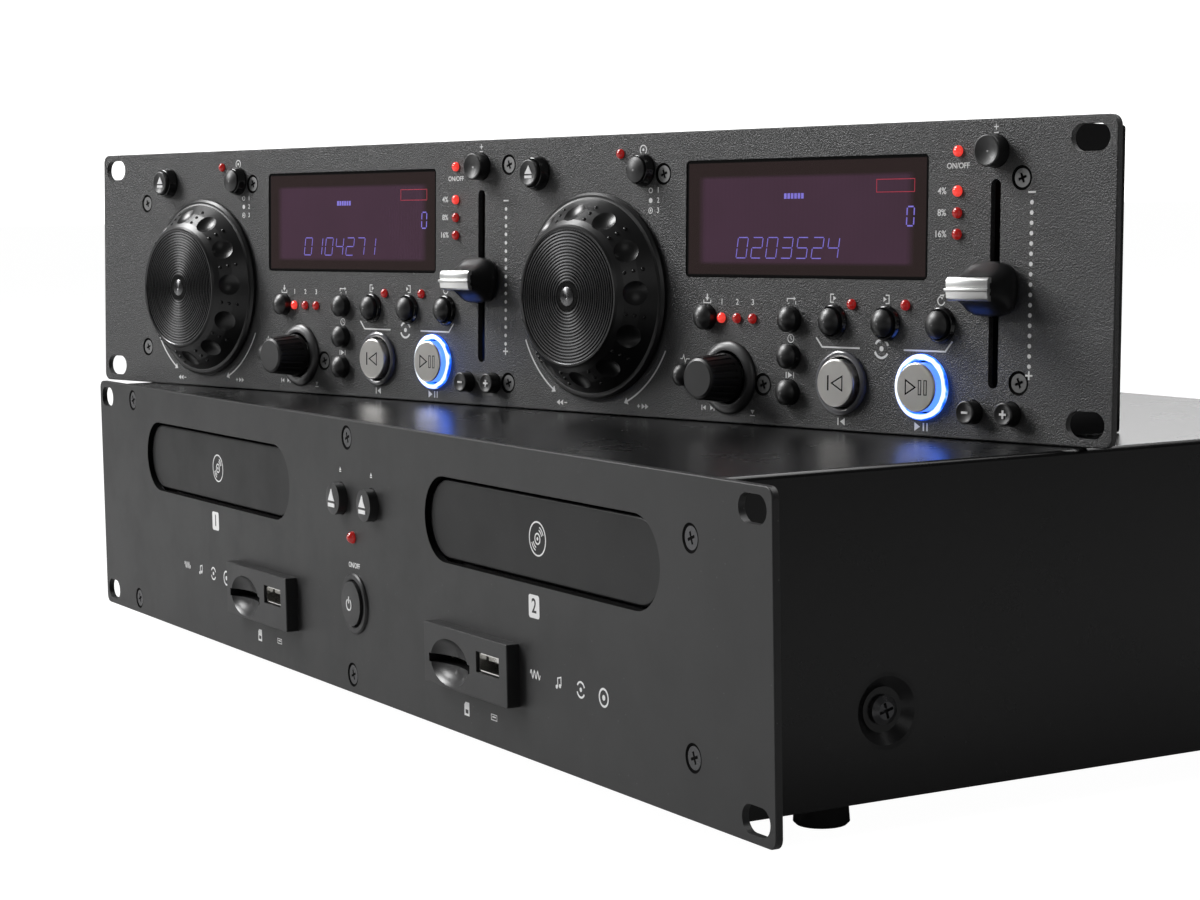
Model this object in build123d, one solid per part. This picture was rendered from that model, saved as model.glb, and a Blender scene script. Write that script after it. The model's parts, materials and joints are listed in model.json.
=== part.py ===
from build123d import *
from math import atan, cos, degrees, radians, sin
import os

os.makedirs("parts", exist_ok=True)

# Two rack units: a disc drive unit, and a control unit that stands on its cover.
# Each unit is drawn in its own panel frame: x to the right, y up and z out of the
# faceplate, whose front face is at z = 0 and whose centre is at x = y = 0.
# All sizes are in millimetres.

# ---- rack faceplates, alike on both units ----
panel_width = 482.6
panel_height = 88.1
panel_thickness = 2.0
panel_corner = 3.0
panel_edge = 0.4
rack_hole_pitch_x = 465.1
rack_hole_pitch_y = 76.2
rack_hole_length = 12.6
rack_hole_width = 7.4

# ---- clearances ----
press_gap = 0.02
running_gap = 0.05
slide_gap = 0.3
hole_gap = 0.2
rest_gap = 0.2

# ---- drive unit: case ----
case_width = 433.8
case_depth = 250.0
case_bottom_rise = 1.5
cover_wall = 1.0
chassis_wall = 1.2
chassis_side_height = 36.0
chassis_lip = 8.0
cover_bend = 0.4
dimple_radius = 10.2
dimple_floor_radius = 5.4
dimple_depth = 2.2
side_screw_height = 24.7
side_screw_depths = (50.4, 205.0)

# ---- drive unit: feet ----
foot_radius = 7.5
foot_height = 8.5
foot_draft = 0.5
foot_recess_radius = 3.6
foot_recess_depth = 4.0
foot_x = 199.0
foot_depths = (42.0, 208.0)

# ---- drive unit: disc trays ----
tray_x = 120.4
tray_y = 18.85
tray_opening_width = 137.2
tray_opening_height = 25.7
door_gap = 1.0
door_recess = 1.5
door_thickness = 3.0
door_edge = 0.8
drawer_width = 127.0
drawer_length = 165.0
drawer_height = 7.5
drawer_drop = 9.25
drawer_corner = 4.0
disc_recess_radius = 60.6
disc_recess_depth = 3.2
small_disc_radius = 40.4
small_disc_depth = 1.2
disc_front_margin = 5.0
spindle_hole_radius = 19.0
tray_travel = 130.0

# ---- drive unit: disc mechanism behind each tray ----
loader_wall = 2.5
loader_start = 7.0
loader_length = 185.0
loader_floor_drop = 4.5
rail_width = 5.5
lip_height = 1.6
clamp_beam_width = 24.0
clamp_beam_thickness = 2.5
clamp_beam_lift = 12.0
clamp_radius = 15.0
clamp_thickness = 2.0
platter_radius = 13.0
platter_thickness = 3.0
spindle_radius = 1.2
motor_radius = 12.0
motor_height = 9.0
sled_width = 34.0
sled_length = 18.0
sled_height = 6.0
lens_radius = 3.2
lens_height = 1.4
guide_rod_radius = 1.5
guide_rod_length = 74.0
guide_rod_spacing = 42.0
rod_block = 7.0
window_margin = 4.0
pinion_radius = 7.0
pinion_teeth = 14
pinion_height = 4.0
post_radius = 3.5
post_x = 63.0
post_depths = (45.0, 182.0)

# ---- drive unit: media bezels with a card slot and a data socket ----
bezel_x = (-74.4, 84.4)
bezel_y = -20.9
bezel_width = 53.1
bezel_height = 18.2
bezel_protrusion = 4.1
bezel_corner = 0.7
bezel_boss_width = 48.0
bezel_boss_height = 15.0
card_slot_x = -10.1
card_slot_y = -1.4
card_slot_width = 26.6
card_slot_height = 2.6
scoop_radius = 6.7
scoop_depth = 3.2
data_port_x = 14.6
data_port_y = 1.7
data_port_width = 14.3
data_port_height = 6.1
data_shell_width = 13.1
data_shell_height = 5.3
data_shell_wall = 0.35
data_shell_length = 14.0
data_tongue_thickness = 1.8
card_socket_height = 4.0
card_socket_length = 28.0
media_board_width = 46.0
media_board_length = 33.0
board_thickness = 1.6
bezel_lug_width = 5.0
bezel_lug_length = 12.0

# ---- drive unit: buttons and lamp ----
drive_eject_x = (-9.6, 13.9)
drive_eject_y = 18.4
drive_eject_radius = 5.1
drive_eject_height = 3.5
power_x = -0.6
power_y = -14.5
power_ring_radius = 9.9
power_ring_height = 0.9
power_cap_radius = 7.1
power_cap_height = 2.3
power_travel = 1.5
drive_lamp_x = -1.2
drive_lamp_y = 6.6
drive_lamp_radius = 1.9
drive_lamp_height = 2.0
drive_screws = ((-203.7, 38.4), (-203.7, -38.2), (-4.0, 38.3), (-4.0, -38.0), (204.0, 28.0), (204.0, -27.8))

# ---- drive unit: boards and rear sockets ----
board_lift = 7.0
main_board_width = 400.0
main_board_length = 48.0
power_board_width = 84.0
power_board_length = 96.0
transformer_width = 46.0
transformer_length = 40.0
transformer_height = 34.0
capacitor_radius = 6.0
capacitor_height = 18.0
heatsink_height = 24.0
chip_size = 16.0
chip_height = 1.8
inlet_x = 185.0
inlet_y = -20.0
inlet_cavity_width = 24.4
inlet_cavity_height = 16.4
inlet_cavity_depth = 15.0
inlet_wall = 1.6
inlet_flange = 2.4
inlet_flange_thickness = 2.0
inlet_pin_length = 10.0
phono_radius = 4.1
phono_bore = 1.6
phono_length = 8.0
phono_base = 11.0
phono_x = (-160.0, -145.0, -95.0, -80.0)
link_socket_radius = 7.5
link_socket_bore = 5.6
link_socket_wall = 1.0
link_socket_depth = 5.0
link_socket_gap = 0.9
link_socket_lip = 0.6
link_x = (-20.0, 20.0)
rear_socket_y = -22.0
rear_socket_depth = 12.0

# ---- control unit: shell and stance ----
control_turn = 13.7
control_x = -9.2
control_y = 61.6
housing_width = 426.0
housing_depth = 43.0
housing_top_step = 0.65
housing_foot_step = 1.35
housing_wall = 0.9
housing_bend = 1.0
housing_tab_width = 6.7
housing_tab_height = 8.0
housing_tab_depth = 9.0
control_screws = (
    (-211.0, 25.0),
    (-211.0, -30.3),
    (-142.0, 31.5),
    (-99.0, -32.0),
    (0.5, 35.6),
    (0.5, -36.0),
    (72.6, 31.3),
    (115.4, -31.9),
    (210.2, 27.8),
    (210.2, -27.8),
)

# ---- control unit: each deck, measured from the deck's own centre line ----
deck_pitch = 214.5
deck_x = (-deck_pitch / 2, deck_pitch / 2)
jog_x = -65.2
jog_y = -6.8
jog_base_radius = 32.8
jog_bead_radius = 31.7
jog_base_height = 1.3
jog_bead_height = 2.1
jog_top_radius = 22.4
jog_top_height = 12.3
jog_shell = 1.8
jog_lift = 0.35
jog_hub_radius = 7.0
jog_shaft_radius = 4.0
jog_groove_count = 17
jog_groove_first = 4.8
jog_groove_pitch = 1.0
jog_groove_depth = 0.25
jog_dimple_count = 12
jog_dimple_phase = 3.0
jog_dimple_orbit = 26.4
jog_dimple_radius = 4.2
jog_dimple_depth = 1.3

window_x = 22.9
window_y = 17.4
window_width = 95.1
window_height = 35.2
window_corner = 1.6
window_sink = 0.3
window_flange = 1.5
window_flange_thickness = 0.8

slot_x = 94.2
slot_y = -1.0
slot_width = 3.4
slot_length = 57.2
slider_rest = -1.3
slider_travel = 46.0
slider_width = 18.0
slider_length = 15.2
slider_lift = 0.8
slider_skirt = 3.2
slider_top_width = 13.3
slider_top_length = 6.0
slider_body_height = 11.0
slider_bar_height = 1.7
slider_stem_width = 2.2
slider_stem_length = 8.0
fader_frame_width = 9.0
fader_frame_height = 6.4
fader_frame_extra = 4.0
fader_wall = 1.0

knob_x = -6.0
knob_y = -30.3
knob_base_radius = 7.4
knob_top_radius = 6.4
knob_height = 13.6
knob_lift = 1.9
knob_rib_count = 20
knob_rib_depth = 0.45
knob_edge = 1.1
knob_bore_depth = 9.0
knob_shaft_radius = 3.0
knob_push = 0.6
knob_ring_radius = 11.2
knob_ring_bore = 8.0
knob_ring_height = 1.6
encoder_size = 12.0
encoder_height = 6.0

light_ring_radius = 9.4
light_ring_bore = 7.5
light_ring_height = 1.4
light_ring_sleeve = 8.4
play_cap_radius = 6.95
play_cap_height = 3.1
play_travel = 0.8

# name, x, y, style of each small button, from the deck's centre line
deck_buttons = (
    ("eject_button", -92.4, 32.6, "eject"),
    ("jog_mode_button", -43.6, 32.7, "skirted"),
    ("source_button", -15.3, -12.3, "dome"),
    ("tempo_button", -24.6, -30.2, "small_dome"),
    ("repeat_button", 19.3, -12.3, "dome"),
    ("time_button", 19.2, -23.1, "dome"),
    ("single_button", 19.0, -33.8, "dome"),
    ("loop_in_button", 35.7, -12.6, "ringed"),
    ("loop_out_button", 55.7, -12.6, "ringed"),
    ("reloop_button", 75.7, -12.6, "ringed"),
    ("pitch_button", 94.0, 35.2, "dish"),
    ("pitch_minus_button", 87.5, -36.4, "small_dish"),
    ("pitch_plus_button", 100.7, -36.3, "small_dish"),
)
# radius of the cap, height of its rim above the panel, and crown (negative when hollowed)
button_styles = {
    "dome": (3.7, 2.4, 1.8),
    "small_dome": (3.4, 2.4, 1.7),
    "ringed": (3.9, 2.4, 1.8),
    "skirted": (3.9, 3.6, 0.9),
    "eject": (4.3, 4.6, -0.5),
    "dish": (4.4, 4.4, -0.6),
    "small_dish": (3.25, 3.9, -0.4),
}
# radius at the panel, radius at the top, and height of the fixed ring round a button
button_rings = {"ringed": (5.2, 4.8, 1.2), "skirted": (5.2, 4.4, 3.0), "eject": (5.7, 4.9, 3.2)}
ring_bore_gap = 0.25
button_travel = 0.6
button_flange = 0.6
button_flange_thickness = 0.8
button_stem_radius = 1.6
cap_edge = 0.4
cue_x = (39.3, 69.4)
cue_y = -30.2
play_names = ("cue_button", "play_button")

# lamps of a deck: jog mode, three sources, two loop points and four pitch ranges
deck_lamps = (
    (-53.7, 37.9),
    (-9.1, -12.4),
    (-2.7, -12.4),
    (3.7, -12.4),
    (42.8, -7.4),
    (62.9, -7.3),
    (81.0, 35.5),
    (81.0, 24.5),
    (81.0, 18.5),
    (81.0, 12.6),
)
lamp_radius = 1.55
lamp_rise = 0.9
lamp_flange = 1.7
eject_shift = (3.8, 0.0)

# ---- control unit: boards behind the panel ----
board_depth = 12.0
board_half_height = 40.0
board_ends = ((-209.0, -2.9), (-2.3, 209.0))
switch_size = 6.0
switch_gap = 0.2
standoff_radius = 2.4
bearing_radius = 7.0
bearing_length = 7.0
display_depth = 6.0
control_socket_x = (-60.0, 60.0)

# ---- screws ----
countersunk_large = {"head": 3.1, "recess": 3.9, "shank": 1.75, "length": 9.0, "cross": 3.4}
countersunk_small = {"head": 2.6, "recess": 3.4, "shank": 1.45, "length": 8.0, "cross": 2.9}
screw_sink = 0.25
cross_width = 0.8
cross_depth = 1.1
side_screw_head = 3.9
side_screw_head_height = 2.0
side_screw_shank = 2.0
side_screw_length = 9.0
foot_screw_head = 3.0
foot_screw_head_height = 2.0
foot_screw_shank = 1.5
foot_screw_length = 9.0

# ---- worked-out places ----
half_height = panel_height / 2
half_width = panel_width / 2
case_half = case_width / 2
case_bottom = -half_height + case_bottom_rise
side_screw_y = -half_height + side_screw_height
floor_top = case_bottom + chassis_wall
rear_face = -(case_depth - cover_wall - slide_gap)
rear_inner = rear_face + chassis_wall
drawer_bottom = tray_y - drawer_drop
drawer_top = drawer_bottom + drawer_height
door_back = -(door_recess + door_thickness)
disc_centre = door_back - disc_front_margin - disc_recess_radius
housing_top = half_height - housing_top_step
housing_bottom = -half_height + housing_foot_step
control_lean = degrees(atan(housing_foot_step / (housing_depth - panel_thickness)))
control_z = (
    half_height
    + rest_gap
    + half_height * cos(radians(control_lean))
    + panel_thickness * sin(radians(control_lean))
)

drive_place = Rot(90, 0, 0)
control_place = Pos(control_x, control_y, control_z) * Rot(0, 0, control_turn) * Rot(90 - control_lean, 0, 0)


def block(x_low, x_high, y_low, y_high, z_low, z_high):
    size = Box(x_high - x_low, y_high - y_low, z_high - z_low)
    return Pos((x_low + x_high) / 2, (y_low + y_high) / 2, (z_low + z_high) / 2) * size


def post(radius, z_low, z_high, x=0.0, y=0.0):
    return Pos(x, y, (z_low + z_high) / 2) * Cylinder(radius, z_high - z_low)


def upright(radius, y_low, y_high, x=0.0, z=0.0):
    return Pos(x, (y_low + y_high) / 2, z) * Rot(90, 0, 0) * Cylinder(radius, y_high - y_low)


def crosswise(radius, x_low, x_high, y=0.0, z=0.0):
    return Pos((x_low + x_high) / 2, y, z) * Rot(0, 90, 0) * Cylinder(radius, x_high - x_low)


def turned(points):
    """A solid of revolution about z from (radius, z) points."""
    profile = make_face(Plane.XZ * Polyline(*points, close=True))
    return revolve(profile, axis=Axis.Z)


def mirrored_pair(value):
    return (-value, value)


def save(name, pieces, place):
    solids = [place * solid for piece in pieces for solid in piece.solids()]
    export_step(Compound(label=name, children=solids), f"parts/{name}.step")


# ---------------------------------------------------------------- faceplates
def rack_panel():
    plate = extrude(RectangleRounded(panel_width, panel_height, panel_corner), -panel_thickness)
    plate = fillet(plate.faces().sort_by(Axis.Z)[-1].edges(), panel_edge)
    for x in mirrored_pair(rack_hole_pitch_x / 2):
        for y in mirrored_pair(rack_hole_pitch_y / 2):
            plate -= Pos(x, y, 0) * extrude(SlotOverall(rack_hole_length, rack_hole_width), panel_thickness, both=True)
    return plate


def through(sketch, x, y):
    """A cutter for the panel with the outline of the sketch."""
    return Pos(x, y, 0) * extrude(sketch, panel_thickness * 2, both=True)


def countersink(screw):
    depth = screw["recess"] - screw["shank"] - hole_gap
    cone = turned(
        (
            (0, panel_thickness),
            (screw["recess"] + panel_thickness, panel_thickness),
            (screw["recess"], 0),
            (screw["recess"] - depth, -depth),
            (screw["recess"] - depth, -panel_thickness * 2),
            (0, -panel_thickness * 2),
        )
    )
    return cone


def countersunk_screw(screw):
    head_depth = screw["head"] - screw["shank"]
    body = turned(
        (
            (0, -screw_sink),
            (screw["head"], -screw_sink),
            (screw["head"], -screw_sink - 0.2),
            (screw["shank"], -screw_sink - 0.2 - head_depth),
            (screw["shank"], -screw["length"]),
            (0, -screw["length"]),
        )
    )
    for turn in (20, 110):
        body -= Pos(0, 0, -screw_sink) * Rot(0, 0, turn) * Box(screw["cross"], cross_width, cross_depth * 2)
    return body


# ---------------------------------------------------------------- buttons
def button_cap(radius, rim, crown, stem_end, travel):
    """A cap standing in the panel's hole, with a flange that keeps it from falling out."""
    flange_face = -panel_thickness - slide_gap
    cap = post(radius, flange_face - button_flange_thickness, rim)
    if crown > 0:
        ball = (radius**2 + crown**2) / (2 * crown)
        dome = Pos(0, 0, rim + crown - ball) * Sphere(ball)
        dome &= post(radius, rim - cap_edge, rim + crown + cap_edge)
        cap += dome
    else:
        cap = fillet(cap.faces().sort_by(Axis.Z)[-1].edges(), cap_edge)
        hollow_radius = radius - cap_edge - 0.2
        ball = (hollow_radius**2 + crown**2) / (-2 * crown)
        cap -= Pos(0, 0, rim + crown + ball) * Sphere(ball)
    cap += post(radius + button_flange, flange_face - button_flange_thickness, flange_face)
    cap += post(button_stem_radius, stem_end, flange_face - button_flange_thickness)
    return cap


def fixed_ring(base_radius, top_radius, height, bore):
    """A trim ring that stands on the panel round a cap, with a sleeve in the panel's hole."""
    sleeve = bore + 0.7
    return turned(
        (
            (bore, -panel_thickness),
            (sleeve, -panel_thickness),
            (sleeve, 0),
            (base_radius, 0),
            (base_radius, height * 0.25),
            (top_radius, height - 0.15),
            (top_radius - 0.2, height),
            (bore + 0.1, height),
            (bore, height - 0.15),
        )
    )


def ring_for(style):
    base_radius, top_radius, height = button_rings[style]
    return fixed_ring(base_radius, top_radius, height, button_styles[style][0] + ring_bore_gap)


def button_hole_radius(style):
    radius = button_styles[style][0]
    if style in button_rings:
        return radius + ring_bore_gap + 0.7 + press_gap
    return radius + hole_gap


# ---------------------------------------------------------------- drive unit
def drive_panel_cutters(grow=0.0):
    """Cutters for everything that stands in the drive unit's faceplate."""
    cutters = []
    for x in mirrored_pair(tray_x):
        outline = SlotOverall(tray_opening_width + grow, tray_opening_height + grow)
        cutters.append(through(outline, x, tray_y))
    for x in bezel_x:
        outline = RectangleRounded(bezel_boss_width + hole_gap + grow, bezel_boss_height + hole_gap + grow, 1.0)
        cutters.append(through(outline, x, bezel_y))
    for x in drive_eject_x:
        cutters.append(through(Circle(drive_eject_radius + hole_gap + grow), x, drive_eject_y))
    cutters.append(through(Circle(power_cap_radius + 1.0 + press_gap + grow), power_x, power_y))
    cutters.append(through(Circle(drive_lamp_radius + press_gap + grow), drive_lamp_x, drive_lamp_y))
    return cutters


def drive_faceplate():
    plate = rack_panel()
    plate -= drive_panel_cutters()
    plate -= [Pos(x, y, 0) * countersink(countersunk_large) for x, y in drive_screws]
    return plate


def drive_chassis():
    half = case_half - cover_wall - slide_gap / 2
    front = -panel_thickness
    top = half_height - cover_wall - slide_gap / 2
    body = block(-half, half, case_bottom, floor_top, rear_face, front)
    wall = block(-half, half, case_bottom, top, front - chassis_wall, front)
    for cutter in drive_panel_cutters(button_flange * 2 + slide_gap * 2):
        wall -= Pos(0, 0, -panel_thickness) * cutter
    body += wall
    body += block(-half, half, top - chassis_wall, top, front - chassis_lip, front)
    body += block(-half, half, case_bottom, top, rear_face, rear_inner)
    body += block(-half, half, top - chassis_wall, top, rear_face, rear_inner + chassis_lip)
    for side in (-1, 1):
        low, high = sorted((side * half, side * (half - chassis_wall)))
        body += block(low, high, case_bottom, case_bottom + chassis_side_height, rear_face, front)
        for depth in side_screw_depths:
            body += side_cup(side, depth, dimple_radius + chassis_wall, chassis_wall)
            body -= side_cup(side, depth, dimple_radius - chassis_wall / 2, 0)
            reach = sorted((side * (half + 1), side * (half - side_screw_length)))
            body -= crosswise(side_screw_shank + press_gap, *reach, side_screw_y, -depth)
    for x, y in drive_screws:
        body -= post(countersunk_large["shank"] + press_gap, front - chassis_lip - 4, front + 1, x, y)
    for x in mirrored_pair(foot_x):
        for depth in foot_depths:
            body -= upright(foot_screw_shank + press_gap, case_bottom - 1, floor_top + 1, x, -depth)
    return body


def side_cup(side, depth, radius, wall):
    """A disc under the cover's dimple, as thick as the dimple is deep, plus the wall."""
    outer = case_half - cover_wall - slide_gap / 2
    inner = case_half - dimple_depth - cover_wall - wall
    return crosswise(radius, *sorted((side * outer, side * inner)), side_screw_y, -depth)


def rear_cutters():
    span = (rear_face - 1, rear_inner + 1)
    width = inlet_cavity_width + 2 * inlet_wall + hole_gap
    height = inlet_cavity_height + 2 * inlet_wall + hole_gap
    cutters = [
        block(
            inlet_x - width / 2, inlet_x + width / 2, inlet_y - height / 2, inlet_y + height / 2, *span
        )
    ]
    cutters += [post(phono_radius + hole_gap, *span, x, rear_socket_y) for x in phono_x]
    cutters += [post(link_socket_radius + hole_gap, *span, x, rear_socket_y) for x in link_x]
    return cutters


def drive_cover():
    """The folded top and sides, with a pressed dimple round each side screw."""
    front = -panel_thickness - slide_gap / 2
    shape = block(-case_half, case_half, case_bottom, half_height, -case_depth, front)
    top_edges = shape.edges().filter_by(Axis.Z).group_by(Axis.Y)[-1]
    shape = fillet(top_edges, cover_bend + cover_wall)
    inner_half = case_half - cover_wall
    hollow = block(
        -inner_half, inner_half, case_bottom - 1, half_height - cover_wall, -case_depth - 1, front + 1
    )
    shape -= fillet(hollow.edges().filter_by(Axis.Z).group_by(Axis.Y)[-1], cover_bend)
    for side in (-1, 1):
        for depth in side_screw_depths:
            seat = Pos(side * case_half, side_screw_y, -depth) * Rot(0, side * 90, 0)
            shape -= seat * Cylinder(dimple_radius, cover_wall * 4)
            shape += seat * side_dimple()
    return shape


def side_dimple():
    rim = dimple_radius
    floor = dimple_floor_radius
    return turned(
        (
            (rim, 0),
            (rim - 1.2, -0.15),
            (floor + 0.6, -dimple_depth),
            (side_screw_shank + hole_gap, -dimple_depth),
            (side_screw_shank + hole_gap, -dimple_depth - cover_wall * 0.8),
            (floor, -dimple_depth - cover_wall * 0.8),
            (rim - 0.9, -cover_wall),
            (rim, -cover_wall),
        )
    )


def rubber_feet():
    foot = turned(
        (
            (foot_screw_shank + hole_gap, 0),
            (foot_radius - foot_draft, 0),
            (foot_radius - foot_draft, -0.5),
            (foot_radius, -foot_height + 0.8),
            (foot_radius - 0.8, -foot_height),
            (foot_recess_radius, -foot_height),
            (foot_recess_radius, -foot_height + foot_recess_depth),
            (foot_screw_shank + hole_gap, -foot_height + foot_recess_depth),
        )
    )
    feet = []
    for x in mirrored_pair(foot_x):
        for depth in foot_depths:
            feet.append(Pos(x, case_bottom, -depth) * Rot(-90, 0, 0) * foot)
    return feet


def pan_screw(head, head_height, shank, length, cross):
    body = turned(
        (
            (0, head_height),
            (head * 0.6, head_height),
            (head, head_height * 0.55),
            (head, 0),
            (shank, 0),
            (shank, -length),
            (0, -length),
        )
    )
    for turn in (15, 105):
        body -= Pos(0, 0, head_height) * Rot(0, 0, turn) * Box(cross, cross_width, cross_depth * 2)
    return body


def drive_screw_set():
    screws = [Pos(x, y, 0) * countersunk_screw(countersunk_large) for x, y in drive_screws]
    side_screw = pan_screw(
        side_screw_head, side_screw_head_height, side_screw_shank, side_screw_length, side_screw_head * 1.1
    )
    for side in (-1, 1):
        for depth in side_screw_depths:
            seat = Pos(side * (case_half - dimple_depth), side_screw_y, -depth) * Rot(0, side * 90, 0)
            screws.append(seat * side_screw)
    foot_screw = pan_screw(
        foot_screw_head, foot_screw_head_height, foot_screw_shank, foot_screw_length, foot_screw_head * 1.1
    )
    head_seat = case_bottom - foot_height + foot_recess_depth
    for x in mirrored_pair(foot_x):
        for depth in foot_depths:
            screws.append(Pos(x, head_seat, -depth) * Rot(90, 0, 0) * foot_screw)
    return screws


def media_bezel():
    """The raised bezel, drawn about its own centre."""
    face = extrude(RectangleRounded(bezel_width, bezel_height, bezel_corner), bezel_protrusion)
    face = fillet(face.faces().sort_by(Axis.Z)[-1].edges(), 0.35)
    boss = extrude(RectangleRounded(bezel_boss_width, bezel_boss_height, 0.9), -panel_thickness - chassis_wall)
    body = face + boss
    floor = -bezel_boss_height / 2
    for x in mirrored_pair(bezel_boss_width / 2 - bezel_lug_width):
        body += block(
            x - bezel_lug_width / 2,
            x + bezel_lug_width / 2,
            floor,
            media_board_bottom(),
            -panel_thickness - bezel_lug_length,
            -panel_thickness,
        )
    ball = (scoop_radius**2 + scoop_depth**2) / (2 * scoop_depth)
    body -= Pos(card_slot_x, card_slot_y, bezel_protrusion - scoop_depth + ball) * Sphere(ball)
    card = Rectangle(card_slot_width, card_slot_height)
    body -= Pos(card_slot_x, card_slot_y, 0) * extrude(card, bezel_protrusion * 2, both=True)
    port = RectangleRounded(data_port_width, data_port_height, 0.3)
    body -= Pos(data_port_x, data_port_y, 0) * extrude(port, bezel_protrusion * 2, both=True)
    return body


def media_board_bottom():
    return card_slot_y - card_socket_height / 2 - board_thickness


def media_socket_set():
    """Data socket, its tongue, card socket and their board, about the bezel's centre."""
    back = -panel_thickness - chassis_wall
    board_top = media_board_bottom() + board_thickness
    half = media_board_width / 2
    board = block(-half, half, board_top - board_thickness, board_top, back - media_board_length, back)
    card_half = card_slot_width / 2
    slot_half = card_slot_height / 2
    card_back = back - card_socket_length
    card = block(
        card_slot_x - card_half - 1, card_slot_x + card_half + 1, board_top, board_top + card_socket_height,
        card_back, back,
    )
    card -= block(
        card_slot_x - card_half, card_slot_x + card_half, card_slot_y - slot_half, card_slot_y + slot_half,
        card_back + 2, back + 1,
    )
    front = bezel_protrusion - 0.8
    shell = Box(data_shell_width, data_shell_height, data_shell_length)
    inner = Box(data_shell_width - 2 * data_shell_wall, data_shell_height - 2 * data_shell_wall, data_shell_length)
    shell -= Pos(0, 0, data_shell_wall * 3) * inner
    shell = Pos(data_port_x, data_port_y, front - data_shell_length / 2) * shell
    tongue_half = data_shell_width / 2 - 1.2
    tongue = block(
        data_port_x - tongue_half,
        data_port_x + tongue_half,
        data_port_y + 0.2,
        data_port_y + 0.2 + data_tongue_thickness,
        front - data_shell_length + 3 * data_shell_wall,
        front - 2.5,
    )
    shell_floor = data_port_y - data_shell_height / 2
    half = data_shell_width / 2
    pad = block(data_port_x - half, data_port_x + half, board_top, shell_floor, back - 7.0, back)
    return [board, card, shell, tongue, pad]


def faceplate_fittings():
    pieces = [Pos(x, bezel_y, 0) * media_bezel() for x in bezel_x]
    ring = fixed_ring_wide(power_ring_radius, power_cap_radius + 0.3, power_ring_height, 0.7 - press_gap)
    pieces.append(Pos(power_x, power_y, 0) * ring)
    lamp = post(drive_lamp_radius, -panel_thickness - 3.0, drive_lamp_height - drive_lamp_radius)
    lamp += Pos(0, 0, drive_lamp_height - drive_lamp_radius) * Sphere(drive_lamp_radius)
    lamp += post(drive_lamp_radius + 0.5, -panel_thickness - 3.0, -panel_thickness)
    pieces.append(Pos(drive_lamp_x, drive_lamp_y, 0) * lamp)
    return pieces


def fixed_ring_wide(radius, bore, height, sleeve_wall):
    """A low rounded ring on the panel, with its sleeve in the panel's hole."""
    return turned(
        (
            (bore, -panel_thickness),
            (bore + sleeve_wall, -panel_thickness),
            (bore + sleeve_wall, 0),
            (radius, 0),
            (radius - 0.15, height * 0.6),
            (radius - 0.6, height),
            (bore + 0.5, height),
            (bore, height - 0.4),
        )
    )


def media_sockets():
    pieces = []
    for x in bezel_x:
        pieces += [Pos(x, bezel_y, 0) * piece for piece in media_socket_set()]
    return pieces


def disc_tray():
    """Tray door and drawer, about the tray opening's centre line."""
    door = extrude(SlotOverall(tray_opening_width - 2 * door_gap, tray_opening_height - 2 * door_gap), -door_thickness)
    door = Pos(0, 0, -door_recess) * fillet(door.faces().sort_by(Axis.Z)[-1].edges(), door_edge)
    low = drawer_bottom - tray_y
    high = drawer_top - tray_y
    half = drawer_width / 2
    back = door_back - drawer_length
    drawer = block(-half, half, low, high, back, door_back)
    drawer = fillet(drawer.edges().filter_by(Axis.Y).group_by(Axis.Z)[0], drawer_corner)
    centre = disc_centre
    drawer -= upright(disc_recess_radius, high - disc_recess_depth, high + 1, 0, centre)
    drawer -= upright(small_disc_radius, high - disc_recess_depth - small_disc_depth, high + 1, 0, centre)
    drawer -= upright(spindle_hole_radius, low - 1, high + 1, 0, centre)
    drawer -= block(
        -spindle_hole_radius, spindle_hole_radius, low - 1, high + 1, centre - disc_recess_radius, centre
    )
    for x in mirrored_pair(half):
        drawer -= Pos(x, high, centre) * Rot(90, 0, 0) * Cylinder(9.0, disc_recess_depth * 2)
    return [door, drawer]


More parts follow.
